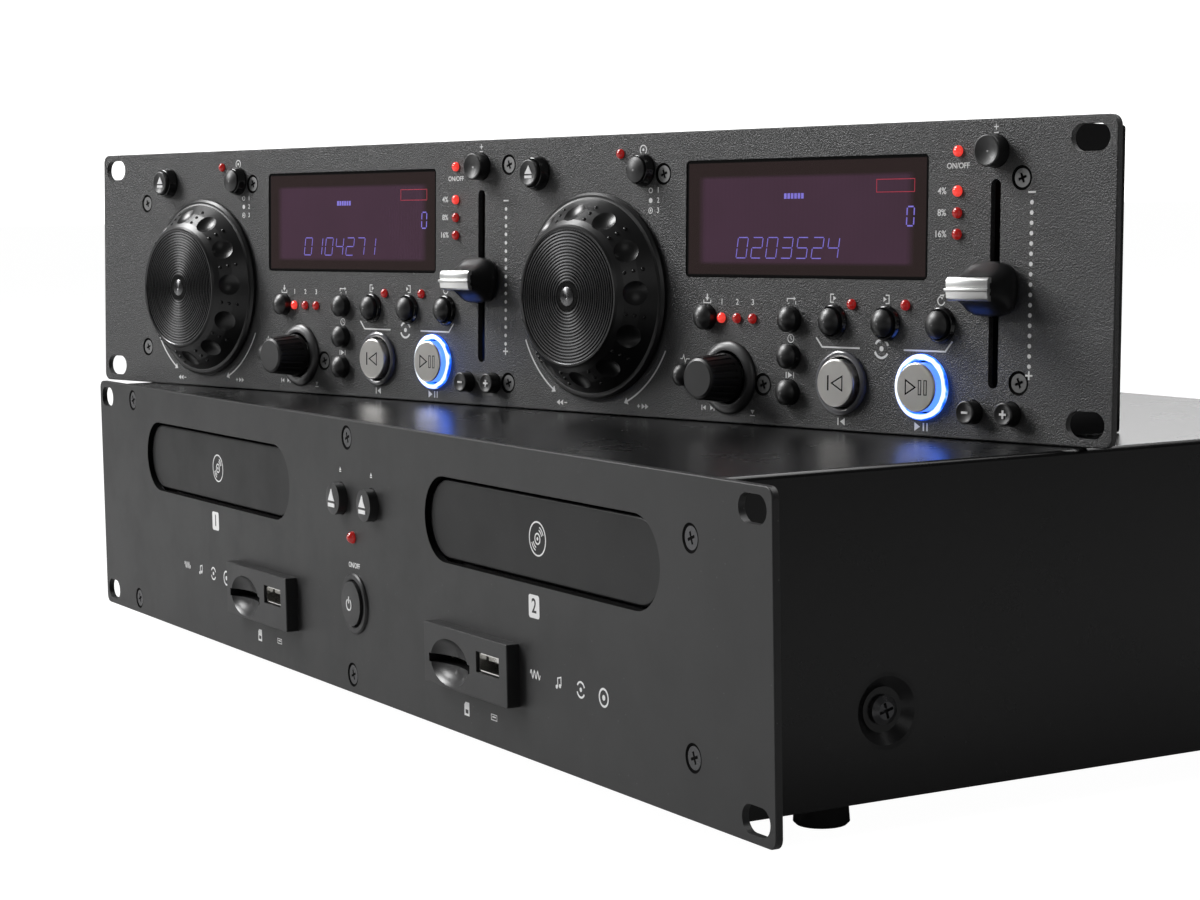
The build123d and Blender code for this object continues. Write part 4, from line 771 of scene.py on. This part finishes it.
drivePrinting = {
    "plateX": (-120.4, 120.4), "plateHalf": (2.2, 2.4), "plateRound": 0.9,
    "numberHeight": 4.2, "numberLift": 0.025,
    "socketX": (-74.4, 84.4),
    "featureX": (-150.2, 120.3),
    # kind, distance from featureX, y, size
    "features": (("wave", 0, -19.2, 0.9), ("note", 13.5, -19.6, 0.95), ("turns", 26.0, -19.4, 1.25),
                 ("wheel", 38.5, -19.6, 1.9)),
    "ejectX": (-9.6, 13.9),
}


def printDrive():
    look, ink, numberInk = drivePrinting, mats["ink"], mats["darkMoulding"]
    marks, numbers = [], []
    wide, high = look["plateHalf"]
    corners = ((wide, -high, -90), (wide, high, 0), (-wide, high, 90), (-wide, -high, 180))
    for number, x in enumerate(look["plateX"], start=1):
        plate = []
        for cx, cy, turn in corners:
            plate += arcPoints(x + cx, cy, look["plateRound"], turn, turn + 90, 5)
        marks.append(inkMesh(f"plate{number}", shape(*plate), ink))
        text = numeral(f"plateNumber{number}", str(number), x, 0, look["numberHeight"], numberInk, 0.02)
        numbers.append(moveMesh(text, at(0, 0, look["numberLift"])))
    for x in look["socketX"]:
        signs = icon("card", x - 7.2, -35.9, 0.85) + icon("port", x + 10.2, -35.6, 0.8)
        marks.append(inkMesh("socketMarks", signs, ink))
    for start in look["featureX"]:
        row = [outline for kind, x, y, size in look["features"] for outline in icon(kind, start + x, y, size)]
        marks.append(inkMesh("featureMarks", row, ink))
    left, right = look["ejectX"]
    marks.append(inkMesh("trayMarks", icon("eject", left, 27.6, 0.55) + icon("eject", right, 27.6, 0.55), ink))
    marks.append(numeral("powerMark", "ON/OFF", -0.6, -2.4, 1.7, ink))
    for pieces, name in ((marks, "drive_printing"), (numbers, "drive_plate_numbers")):
        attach(moveMesh(joinAll(pieces, name), driveFrame), "drive_unit")


printDrive()
print("panels printed")

capMarks = {
    # x, y and height of each cap's mark in mm
    "eject": (-92.4, 32.6, 4.28),
    "ejectShift": 3.8,             # the left deck's eject button sits further in
    "minus": (87.5, -36.4, 3.72), "plus": (100.7, -36.3, 3.72),
    "driveEject": ((-9.6, 18.4, 3.42), (13.9, 18.4, 3.42)),
    "power": (-0.6, -14.5, 2.28),
    "doors": ((-120.4, 18.85, -1.5), (120.4, 18.85, -1.5)),
}


def capMark(name, outlines, place, body, thick=0.12):
    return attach(inkMesh(name, outlines, mats["ink"], thick, place), body)


for deck, place in enumerate(deckFrames):
    number = deck + 1
    x, y, height = capMarks["eject"]
    if deck == 0:
        x += capMarks["ejectShift"]
    capMark(f"eject_mark_{number}", icon("eject", 0, 0, 1.35), place @ at(x, y, height),
            f"eject_button_{number}")
    for sign, outlines in (("minus", line(0.62, (-1.1, 0), (1.1, 0))), ("plus", plus(0, 0, 2.3, 0.62))):
        body = f"pitch_{sign}_button_{number}"
        capMark(f"{sign}_mark_{number}", outlines, place @ at(*capMarks[sign]), body)
for number, spot in enumerate(capMarks["driveEject"], start=1):
    capMark(f"drive_eject_mark_{number}", icon("eject", 0, -0.1, 1.9), driveFrame @ at(*spot),
            f"drive_eject_button_{number}")
powerMark = strokeOutline(arcPoints(0, -0.2, 1.75, 118, 422, 30), 0.5) + line(0.5, (0, 2.4), (0, 0.2))
capMark("power_mark", powerMark, driveFrame @ at(*capMarks["power"]), "power_button", 0.08)
for number, spot in enumerate(capMarks["doors"], start=1):
    capMark(f"door_disc_mark_{number}", icon("disc", 0, 0, 1.1), driveFrame @ at(*spot),
            f"disc_tray_{number}", 0.03)
print("cap marks placed")


def keepNormals(obj, source):
    # a merged copy takes its smooth corner normals, face by face, from the node it was made of
    old = source.data
    tree = kdtree.KDTree(len(old.polygons))
    for face in old.polygons:
        tree.insert(face.center, face.index)
    tree.balance()
    found = [Vector((0, 0, 0))] * len(obj.data.loops)

    def corner(mesh, loop):
        return mesh.vertices[mesh.loops[loop].vertex_index].co

    for face in obj.data.polygons:
        face.use_smooth = True
        near = tree.find_n(face.center, 4)
        twinFace = max((old.polygons[i] for c, i, d in near if d < 0.000005 or d == near[0][2]),
                       key=lambda other: other.normal.dot(face.normal))
        for loop in face.loop_indices:
            co = corner(obj.data, loop)
            match = min(twinFace.loop_indices, key=lambda other: (corner(old, other) - co).length)
            found[loop] = old.corner_normals[match].vector.copy()
    obj.data.normals_split_custom_set(found)
    return obj


def finishedCopy(nodeName, name, place, finish):
    # a node's own mesh, merged, with the turning direction laid on it in its own frame
    obj = bpy.data.objects.new(name, nodes[nodeName].data.copy())
    bpy.context.scene.collection.objects.link(obj)
    obj.data.name = name
    moveMesh(obj, place.inverted())
    pick(obj)
    editAll()
    bpy.ops.mesh.remove_doubles(threshold=0.000002)
    bpy.ops.object.mode_set(mode="OBJECT")
    obj.data.materials.clear()
    obj.data.materials.append(mats[finish])
    moveMesh(polarMap(obj), place)
    return keepNormals(obj, nodes[nodeName])


wheelLook = {
    "discRadius": 21.4, "discLow": 11.2,
    "slope": ((28.9, 4.75), (27.5, 6.6), (24.2, 10.2)),
    "pips": (24.7, 26.6, 28.5), "pipRadius": 0.62, "pipRise": 0.5,
    "gaps": 12, "firstGap": 18.0,
    "centre": ((0, 12.0), (3.0, 12.0), (3.0, 12.16), (2.7, 12.28), (0.75, 12.28), (0.55, 12.12), (0, 12.1)),
}


def slopeHeight(radius):
    for (r0, h0), (r1, h1) in zip(wheelLook["slope"], wheelLook["slope"][1:]):
        if r1 <= radius <= r0:
            return h0 + (h1 - h0) * (radius - r0) / (r1 - r0)
    return wheelLook["slope"][-1][1]


def domeShape(name, radius, rise, mat, skirt, segments=24):
    # half a ball pressed flat, with a short skirt that goes into what carries it
    clearSelection()
    bpy.ops.mesh.primitive_uv_sphere_add(segments=segments, ring_count=segments // 2, radius=radius * mm)
    obj = nameIt(name, mat)
    editAll()
    bpy.ops.mesh.bisect(plane_co=(0, 0, 0), plane_no=(0, 0, 1), clear_inner=True, use_fill=False)
    bpy.ops.mesh.select_all(action="SELECT")
    bpy.ops.transform.resize(value=(1, 1, rise / radius))
    bpy.ops.mesh.select_all(action="DESELECT")
    bpy.ops.mesh.select_non_manifold()
    bpy.ops.mesh.extrude_region_move(TRANSFORM_OT_translate={"value": (0, 0, -skirt * mm)})
    bpy.ops.mesh.edge_face_add()
    bpy.ops.object.mode_set(mode="OBJECT")
    return smooth(obj, 50)


def jogWheel(deck):
    look = wheelLook
    place = deckFrames[deck] @ at(*jogSpotInDeck)
    node = f"jog_wheel_{deck + 1}"
    wheel = finishedCopy(node, f"jog_wheel_finish_{deck + 1}", place, "wheelGloss")
    wheel.data.materials.append(mats["turnedDisc"])
    for face in wheel.data.polygons:
        middle = place.inverted() @ face.center
        if middle.z > look["discLow"] * mm and math.hypot(*middle.xy) < look["discRadius"] * mm:
            face.material_index = 1
    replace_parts(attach(wheel, node), node)
    pip = domeShape("pip", look["pipRadius"], look["pipRise"], mats["wheelGloss"], 0.3, 12)
    pips = []
    (outer, low), (inner, high) = look["slope"][1:]
    tilt = math.atan2(high - low, outer - inner)
    for gap in range(look["gaps"]):
        turn = Matrix.Rotation(math.radians(look["firstGap"] + gap * 360 / look["gaps"]), 4, "Z")
        for reach in look["pips"]:
            spot = turn @ at(reach, 0, slopeHeight(reach) - 0.05) @ Matrix.Rotation(tilt, 4, "Y")
            pips.append(twin(pip, "pip", spot))
    bpy.data.objects.remove(pip)
    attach(moveMesh(joinAll(pips, f"jog_wheel_pips_{deck + 1}"), place), node)
    boss = polarMap(lathe(f"jog_wheel_centre_{deck + 1}", look["centre"], mats["turnedDisc"], 48))
    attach(moveMesh(boss, place), node)


for deck in range(2):
    jogWheel(deck)
print("jog wheels finished")

lightRings = {
    "cue": (39.3, -30.2), "play": (69.4, -30.2), "knob": (-6.0, -30.3),
    "profile": ((7.5, -2.0), (8.4, -2.0), (8.4, 0.0), (9.3, 0.0), (9.4, 0.3), (9.3, 0.95), (8.9, 1.3),
                (8.45, 1.42), (8.0, 1.3), (7.6, 0.95), (7.5, 0.5), (7.5, -2.0)),
    "clearance": 12.0,             # what lies nearer than this to a spot, mm, makes room
    "knobProfile": ((8.0, 0.0), (11.2, 0.0), (11.17, 0.4), (10.9, 0.85), (10.3, 1.3), (9.5, 1.6), (8.7, 1.74),
                    (8.25, 1.7), (8.0, 1.45), (8.0, 0.0)),
}
capFace = {"height": 3.12, "stroke": 0.42, "shine": 0.13}


def ringsWithoutLights():
    # the node's other rings, copied whole; the light rings are modelled below
    obj = finishedCopy("trim_rings", "button_rings", Matrix.Identity(4), "ringGloss")
    spots = [place @ at(*lightRings[key]) for place in deckFrames for key in ("cue", "play", "knob")]
    centres = [spot.translation for spot in spots]
    near = lightRings["clearance"] * mm
    chosen = {v.index for v in obj.data.vertices if any((v.co - c).length < near for c in centres)}
    for vert in obj.data.vertices:
        vert.select = vert.index in chosen
    for item in (*obj.data.edges, *obj.data.polygons):
        item.select = all(i in chosen for i in item.vertices)
    pick(obj)
    bpy.ops.object.mode_set(mode="EDIT")
    bpy.ops.mesh.delete(type="VERT")
    bpy.ops.object.mode_set(mode="OBJECT")
    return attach(obj, "control_unit")


def capMarking(deck, key, outlines):
    # a cut mark: its floor painted near black as painted shade, and the bright edge that catches the light
    # under it
    place = deckFrames[deck] @ at(*lightRings[key], capFace["height"])
    shine = inkMesh(f"{key}_mark_edge_{deck + 1}", outlines, mats["barMetal"], 0.008)
    moveMesh(shine, place @ at(capFace["shine"], -capFace["shine"], -0.012))
    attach(shine, f"{key}_button_{deck + 1}")
    # painted shade: the mark's floor is near black for the shade down in the cut
    floor = inkMesh(f"{key}_mark_{deck + 1}", outlines, mats["paintedShadeBlack"], 0.008, place)
    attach(floor, f"{key}_button_{deck + 1}")


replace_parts(ringsWithoutLights(), "trim_rings")
width = capFace["stroke"]
capSigns = {
    "play": strokeOutline([(-3.6, 2.0), (-3.6, -2.0), (-0.1, 0.0)], width, True),
    "cue": line(width * 1.4, (-2.6, 2.2), (-2.6, -2.2))
    + strokeOutline([(2.8, 2.1), (2.8, -2.1), (-1.2, 0.0)], width, True),
}
for x in (1.1, 3.1):
    bar = [(x, 2.0), (x, -2.0), (x + 0.9, -2.0), (x + 0.9, 2.0)]
    capSigns["play"] += strokeOutline(bar, width * 0.7, True)
for deck in range(2):
    for key, finish in (("cue", "clearRing"), ("play", "playRingLit")):
        place = deckFrames[deck] @ at(*lightRings[key])
        ringPiece = polarMap(lathe(f"{key}_ring_{deck + 1}", lightRings["profile"], mats[finish], 72))
        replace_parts(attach(moveMesh(ringPiece, place), "control_unit"), "trim_rings")
        body = f"{key}_button_{deck + 1}"
        cap = finishedCopy(body, f"{key}_cap_{deck + 1}", place, "turnedCap")
        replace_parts(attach(cap, body), body)
        capMarking(deck, key, capSigns[key])
    knobRing = lathe(f"knob_ring_{deck + 1}", lightRings["knobProfile"], mats["ringSatin"], 72)
    moveMesh(knobRing, deckFrames[deck] @ at(*lightRings["knob"]))
    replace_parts(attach(knobRing, "control_unit"), "trim_rings")
print("light rings and caps made")

bezelLook = {
    "spots": ((-84.5, -22.3), (74.3, -22.3)),      # middles of the card slots in the drive panel's frame
    "radii": (13.7, 7.9, 5.5), "height": 6.6,
}


def scoopedBezels():
    # the node's own mouldings, with the wide thumb scoop cut round each card slot
    obj = finishedCopy("faceplate_fittings", "panel_fittings", Matrix.Identity(4), "bezelPlastic")
    bpy.ops.mesh.customdata_custom_splitnormals_clear()
    for x, y in bezelLook["spots"]:
        clearSelection()
        bpy.ops.mesh.primitive_uv_sphere_add(segments=64, ring_count=32, radius=1)
        cutter = nameIt("scoop", mats["bezelPlastic"])
        editAll()
        bpy.ops.transform.resize(value=tuple(r * mm for r in bezelLook["radii"]))
        bpy.ops.object.mode_set(mode="OBJECT")
        moveMesh(cutter, driveFrame @ at(x, y, bezelLook["height"]))
        cut = obj.modifiers.new("scoop", "BOOLEAN")
        cut.operation = "DIFFERENCE"
        cut.solver = "EXACT"
        cut.object = cutter
        applyAll(obj)
        bpy.data.objects.remove(cutter)
    smooth(obj, 30)
    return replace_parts(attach(obj, "drive_unit"), "faceplate_fittings")


scoopedBezels()
print("bezels scooped")

faderLook = {
    "spot": (94.2, -2.3),
    # height, half width, half length of the saddle from the panel outwards, mm
    "saddle": ((0.8, 8.5, 7.1), (0.95, 8.8, 7.4), (1.3, 9.0, 7.55), (2.6, 9.0, 7.55), (3.3, 8.95, 7.3),
               (4.1, 8.8, 6.6), (5.0, 8.6, 5.8), (6.1, 8.35, 5.0), (7.4, 8.0, 4.3), (8.8, 7.7, 3.8),
               (10.0, 7.5, 3.55), (11.0, 7.4, 3.4)),
    "stem": ((-6.4, 1.1, 4.0), (0.9, 1.1, 4.0)), "stemSquareness": 8, "edge": 0.08,
    "squareness": 3.0,
    # side, height of the metal strip's front
    "strip": ((-3.25, 10.4), (-3.2, 11.4), (-2.6, 11.95), (-0.75, 12.3), (0.2, 12.3), (0.25, 12.05),
              (0.6, 12.05), (0.65, 12.3), (2.5, 12.1), (3.15, 11.5), (3.25, 10.4)),
    "stripHalf": 7.1,
    "ridge": ((-0.75, 11.0), (-0.75, 12.45), (-0.5, 12.7), (0.0, 12.7), (0.15, 12.45), (0.15, 11.0)),
    "ridgeHalf": 7.4,
}


def loft(name, sections, squareness, mat, steps=48):
    # rounded sections stacked along z; squareness 2 is an ellipse, more is squarer
    clearSelection()
    bpy.ops.mesh.primitive_circle_add(vertices=steps, radius=1, fill_type="NGON")
    obj = nameIt(name, mat)
    for vert in obj.data.vertices:
        turn = math.atan2(vert.co.y, vert.co.x)
        vert.co *= (abs(math.cos(turn)) ** squareness + abs(math.sin(turn)) ** squareness) ** (-1 / squareness)
    editAll()
    z, x, y = sections[0]
    bpy.ops.transform.resize(value=(x * mm, y * mm, 1), center_override=(0, 0, 0))
    bpy.ops.transform.translate(value=(0, 0, z * mm))
    for (z0, x0, y0), (z1, x1, y1) in zip(sections, sections[1:]):
        bpy.ops.mesh.extrude_region_move(TRANSFORM_OT_translate={"value": (0, 0, (z1 - z0) * mm)})
        bpy.ops.transform.resize(value=(x1 / x0, y1 / y0, 1), center_override=(0, 0, z1 * mm))
    bpy.ops.mesh.select_all(action="SELECT")
    bpy.ops.mesh.normals_make_consistent(inside=False)
    bpy.ops.object.mode_set(mode="OBJECT")
    return obj


def prism(name, profile, half, mat):
    # a closed outline across y and z, drawn out along x
    clearSelection()
    bpy.ops.mesh.primitive_plane_add(size=1)
    obj = nameIt(name, mat)
    editAll()
    bpy.ops.mesh.merge(type="CENTER")
    bpy.ops.transform.translate(value=(-half * mm, profile[0][0] * mm, profile[0][1] * mm))
    for (y0, z0), (y1, z1) in zip(profile, profile[1:]):
        step = (0, (y1 - y0) * mm, (z1 - z0) * mm)
        bpy.ops.mesh.extrude_vertices_move(TRANSFORM_OT_translate={"value": step})
    bpy.ops.mesh.select_all(action="SELECT")
    bpy.ops.mesh.edge_face_add()
    bpy.ops.mesh.extrude_region_move(TRANSFORM_OT_translate={"value": (2 * half * mm, 0, 0)})
    bpy.ops.mesh.select_all(action="SELECT")
    bpy.ops.mesh.normals_make_consistent(inside=False)
    bpy.ops.object.mode_set(mode="OBJECT")
    return obj


def fader(deck):
    look = faderLook
    node = f"pitch_slider_{deck + 1}"
    place = deckFrames[deck] @ at(*look["spot"])
    saddle = loft(f"fader_cap_{deck + 1}", look["saddle"], look["squareness"], mats["faderPlastic"])
    stem = loft("stem", look["stem"], look["stemSquareness"], mats["faderPlastic"])
    saddle = smooth(joinAll([saddle, stem], f"fader_cap_{deck + 1}"), 45)
    strip = prism(f"fader_strip_{deck + 1}", look["strip"], look["stripHalf"], mats["barMetal"])
    ridge = prism("ridge", look["ridge"], look["ridgeHalf"], mats["barMetal"])
    strip = joinAll([strip, ridge], f"fader_strip_{deck + 1}")
    edges = strip.modifiers.new("edges", "BEVEL")
    edges.width = look["edge"] * mm
    edges.segments = 2
    applyAll(strip)
    smooth(strip, 25)
    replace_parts(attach(moveMesh(saddle, place), node), node)
    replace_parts(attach(moveMesh(strip, place), node), node)


for deck in range(2):
    fader(deck)
print("faders made")

crossLook = {
    "controlLength": 2.5, "driveLength": 3.0, "width": 0.62, "turn": 20.0, "depth": -0.24,
    "control": ((-211, 25), (-211, -30.3), (-142, 31.5), (-99, -32), (0.5, 35.6), (0.5, -36), (72.6, 31.3),
                (115.4, -31.9), (210.2, 27.8), (210.2, -27.8)),
    "drive": ((-203.7, 38.4), (-203.7, -38.2), (-4, 38.3), (-4, -38), (204, 28), (204, -27.8)),
}


def crossRecess(x, y, length):
    turn = math.radians(crossLook["turn"])
    c, n = math.cos(turn), math.sin(turn)
    sign = plus(0, 0, length, crossLook["width"])
    return [[(x + p[0] * c - p[1] * n, y + p[0] * n + p[1] * c) for p in o] for o in sign]


panels = (("control", controlFrame), ("drive", driveFrame))
# painted shade: near-black crosses sunk into the screw heads stand for the shade in their recesses
for panel, place in panels:
    marks = []
    for x, y in crossLook[panel]:
        marks += crossRecess(x, y, crossLook[f"{panel}Length"])
    recess = inkMesh(f"{panel}_screw_recess_shade", marks, mats["paintedShadeBlack"], 0.005)
    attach(moveMesh(recess, place @ at(0, 0, crossLook["depth"])), f"{panel}_unit")


openingLook = {
    "half": (137.2 / 2, 25.7 / 2), "spots": ((-120.4, 18.85), (120.4, 18.85)),
    # the painted shade band in each tray opening: how far outside the outline and how high, mm
    "band": ((0.0, -0.12), (-0.12, -0.2), (-0.12, -1.95), (0.0, -1.95)),
    # radius and height
    "driveSeat": ((3.9, 0.012), (3.1, -0.22), (3.1, -0.35), (3.9, -0.01), (3.9, 0.012)),
    "controlSeat": ((3.4, 0.012), (2.6, -0.22), (2.6, -0.35), (3.4, -0.01), (3.4, 0.012)),
}


def stadium(grow, depth):
    halfWidth, halfHeight = openingLook["half"]
    straight = halfWidth - halfHeight
    radius = halfHeight + grow
    flat = arcPoints(straight, 0, radius, -90, 90) + arcPoints(-straight, 0, radius, 90, 270)
    return [Vector((x, y, depth)) * mm for x, y in flat]


def openingEdge(name, rows, mat):
    # the opening's outline pulled through its rows and back to the first one, a closed band
    loops = [stadium(*row) for row in (*rows, rows[0])]
    clearSelection()
    bpy.ops.mesh.primitive_circle_add(vertices=len(loops[0]), radius=1)
    obj = nameIt(name, mat)
    for vert, spot in zip(obj.data.vertices, loops[0]):
        vert.co = spot
    for before, after in zip(loops, loops[1:]):
        bpy.ops.object.mode_set(mode="EDIT")
        bpy.ops.mesh.extrude_region_move()
        bpy.ops.object.mode_set(mode="OBJECT")
        for vert in obj.data.vertices:
            if vert.select:
                vert.co = after[min(range(len(before)), key=lambda i: (before[i] - vert.co).length)]
    editAll()
    bpy.ops.mesh.remove_doubles(threshold=0.000002)
    bpy.ops.mesh.normals_make_consistent(inside=False)
    bpy.ops.object.mode_set(mode="OBJECT")
    return smooth(obj, 40)


# painted shade: a near-black band inside each tray opening, for the dark gap round the door
for number, spot in enumerate(openingLook["spots"], start=1):
    band = openingEdge(f"tray_opening_shade_{number}", openingLook["band"], mats["paintedShadeBlack"])
    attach(moveMesh(band, driveFrame @ at(*spot)), "drive_unit")
# painted shade: near-black rings on the screws' countersinks
for panel, place in panels:
    seat = lathe("seat", openingLook[f"{panel}Seat"], mats["paintedShadeBlack"], 32, 40)
    seats = [twin(seat, "seat", place @ at(x, y)) for x, y in crossLook[panel]]
    bpy.data.objects.remove(seat)
    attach(joinAll(seats, f"{panel}_screw_seat_shade"), f"{panel}_unit")
print("screw recesses and opening edges made")


displayLook = {
    "sink": -0.29,                 # mm, just on the glass
    "digits": ("0104271", "0203524"), "firstDigit": (-1.2, 8.7), "pitch": 6.05,
    # width, height, stroke and slant
    "bigDigit": (4.1, 6.09, 0.31, 0.16), "smallDigit": (2.6, 5.4, 0.42, 0.05), "smallSpot": (63.9, 17.7),
    "bars": 6, "barX": 15.6, "barPitch": 1.35, "barWidth": 1.0, "barLow": 23.1, "barHigh": 24.7,
    "frame": ((51.3, 24.6), (51.3, 28.2), (65.3, 28.2), (65.3, 24.6)), "frameStroke": 0.22,
}
segmentSets = {"0": "abcdef", "1": "bc", "2": "abged", "3": "abgcd", "4": "fgbc", "5": "afgcd", "6": "afgedc",
               "7": "abc", "8": "abcdefg", "9": "abcdfg"}
segmentEnds = {"a": ((-1, 1), (1, 1)), "g": ((-1, 0), (1, 0)), "d": ((-1, -1), (1, -1)),
               "f": ((-1, 1), (-1, 0)), "b": ((1, 1), (1, 0)), "e": ((-1, 0), (-1, -1)),
               "c": ((1, 0), (1, -1))}


def sevenSegments(char, x, y, width, height, stroke, slant):
    found = []
    for key in segmentSets[char]:
        start, end = (Vector((px * width / 2, py * height / 2)) for px, py in segmentEnds[key])
        gap = (end - start).normalized() * stroke * 0.75
        found += line(stroke, *((x + p.x + p.y * slant, y + p.y) for p in (start + gap, end - gap)))
    return found


for deck, digits in enumerate(displayLook["digits"]):
    look = displayLook
    x, y = look["firstDigit"]
    marks = sevenSegments("0", *look["smallSpot"], *look["smallDigit"])
    for i, char in enumerate(digits):
        marks += sevenSegments(char, x + i * look["pitch"], y, *look["bigDigit"])
    for i in range(look["bars"]):
        left = look["barX"] + i * look["barPitch"]
        right, low, high = left + look["barWidth"], look["barLow"], look["barHigh"]
        marks += shape((left, low), (right, low), (right, high), (left, high))
    place = deckFrames[deck] @ at(0, 0, look["sink"])
    box = strokeOutline(look["frame"], look["frameStroke"], True)
    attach(inkMesh(f"display_digits_{deck + 1}", marks, mats["segmentViolet"], 0.02, place), "control_unit")
    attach(inkMesh(f"display_frame_{deck + 1}", box, mats["segmentRed"], 0.02, place), "control_unit")
print("displays lit")

lampLook = {
    "radius": 1.55, "rise": 0.95, "skirt": 2.6,
    "lit": (1, 6, 7),              # which of the spots shine
    "spots": ((-53.7, 37.9), (-9.1, -12.4), (-2.7, -12.4), (3.7, -12.4), (42.8, -7.4), (62.9, -7.3),
              (81.0, 35.5), (81.0, 24.5), (81.0, 18.5), (81.0, 12.6)),
    "powerSpot": (-1.2, 6.6), "powerRadius": 2.0, "powerRise": 2.1, "powerSkirt": 0.4,
}
dome = domeShape("lampDome", lampLook["radius"], lampLook["rise"], mats["lensDark"], lampLook["skirt"], 32)
lamps = {"lensLit": [], "lensDark": []}
for place in deckFrames:
    for i, (x, y) in enumerate(lampLook["spots"]):
        finish = "lensLit" if i in lampLook["lit"] else "lensDark"
        lamp = twin(dome, "lamp", place @ at(x, y))
        lamp.data.materials[0] = mats[finish]
        lamps[finish].append(lamp)
bpy.data.objects.remove(dome)
for finish, name in (("lensLit", "lamps_lit"), ("lensDark", "lamps_unlit")):
    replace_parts(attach(joinAll(lamps[finish], name), "control_unit"), "control_lamps")
powerLens = domeShape("power_lamp_lens", lampLook["powerRadius"], lampLook["powerRise"], mats["lensDark"],
                      lampLook["powerSkirt"], 32)
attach(moveMesh(powerLens, driveFrame @ at(*lampLook["powerSpot"])), "drive_unit")
print("lamps made")

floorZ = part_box("rubber_feet")[0].z
studio = {
    "ambient": 0.07,
    "backdrop": 1.6,
    "floorGlow": 0.82,             # share of the floor that the camera sees as plain white
    "floorLight": 1.2,
    "floorUnseen": (0.42, 0.42, 0.42),     # the floor as mirrors and bounced light meet it
    # name, place, target, size, watts
    "lights": (
        ("keySoftbox", (-1.3, -1.0, 1.6), (-0.05, 0.05, 0.05), (1.1, 0.8), 52),
        ("frontSoftbox", (-1.6, -1.55, 0.82), (-0.1, 0.0, 0.06), (0.5, 0.45), 17),
        ("topSoftbox", (0.1, 1.0, 1.5), (0, 0.1, 0.05), (1.8, 0.6), 14),
        ("backStrip", (-1.3, 1.6, 0.6), (0, 0.15, 0.06), (1.6, 0.5), 8),
        ("fillSoftbox", (1.8, -0.9, 0.9), (0, 0, 0.05), (0.9, 0.9), 1.5),
    ),
}


def makeFloor():
    mat, tree, shader = newMaterial("paleFloor", (0.86, 0.86, 0.86), 0.6)
    spots = noise(tree, objectCoords(tree), 3.0)
    dappled = mixColor(tree, spots, (0.84, 0.84, 0.84), (0.88, 0.88, 0.88))
    plain = addNode(tree, "ShaderNodeEmission", {"Color": (1, 1, 1), "Strength": studio["floorLight"]})
    seen = addNode(tree, "ShaderNodeLightPath").outputs["Is Camera Ray"]
    plug(tree, shader, {"Base Color": mixColor(tree, seen, studio["floorUnseen"], dappled)})
    share = mathNode(tree, "MULTIPLY", seen, studio["floorGlow"])
    choose = addNode(tree, "ShaderNodeMixShader", {0: share, 1: shader.outputs[0], 2: plain.outputs[0]})
    plug(tree, tree.nodes["Material Output"], {"Surface": choose.outputs[0]})
    return mat


clearSelection()
bpy.ops.mesh.primitive_plane_add(size=40, location=(0, 0, floorZ - 0.0001))
nameIt("floor", makeFloor())

# the world lights softly, and the camera sees it as plain white
world = bpy.data.worlds.new("studio")
bpy.context.scene.world = world
world.use_nodes = True
tree = world.node_tree
ambient = plug(tree, tree.nodes["Background"], {"Color": (1, 1, 1), "Strength": studio["ambient"]})
backdrop = addNode(tree, "ShaderNodeBackground", {"Color": (1, 1, 1), "Strength": studio["backdrop"]})
seen = addNode(tree, "ShaderNodeLightPath").outputs["Is Camera Ray"]
choose = addNode(tree, "ShaderNodeMixShader", {0: seen, 1: ambient.outputs[0], 2: backdrop.outputs[0]})
plug(tree, tree.nodes["World Output"], {"Surface": choose.outputs[0]})


def softLight(name, spot, target, size, power):
    light = bpy.data.lights.new(name, "AREA")
    light.shape = "RECTANGLE"
    light.size, light.size_y = size
    light.energy = power
    obj = bpy.data.objects.new(name, light)
    bpy.context.scene.collection.objects.link(obj)
    obj.location = spot
    obj.rotation_mode = "QUATERNION"
    obj.rotation_quaternion = (Vector(target) - Vector(spot)).to_track_quat("-Z", "Y")


for values in studio["lights"]:
    softLight(*values)

cameraLook = {
    "focal": 2620.8, "imageWidth": 1200, "sensor": 36,
    "yaw": -60.463, "pitch": 5.551, "roll": 1.029, "spot": (0.7569, -0.3387, 0.11343),
}
yaw, pitch, roll = (math.radians(cameraLook[k]) for k in ("yaw", "pitch", "roll"))
forward = Vector((math.sin(yaw) * math.cos(pitch), math.cos(yaw) * math.cos(pitch), -math.sin(pitch)))
side = Vector((math.cos(yaw), -math.sin(yaw), 0))
down = forward.cross(side)
camRight = side * math.cos(roll) + down * math.sin(roll)
camDown = -side * math.sin(roll) + down * math.cos(roll)
camera = bpy.data.objects.new("camera", bpy.data.cameras.new("camera"))
bpy.context.scene.collection.objects.link(camera)
turned = Matrix((camRight, -camDown, -forward)).transposed().to_4x4()
camera.matrix_world = Matrix.Translation(cameraLook["spot"]) @ turned
camera.data.sensor_width = cameraLook["sensor"]
camera.data.lens = cameraLook["focal"] / cameraLook["imageWidth"] * cameraLook["sensor"]
camera.data.clip_start = 0.01
camera.data.clip_end = 60
bpy.context.scene.camera = camera
bpy.context.scene.view_settings.view_transform = "Standard"
bpy.context.scene.view_settings.look = "None"
print("studio ready")
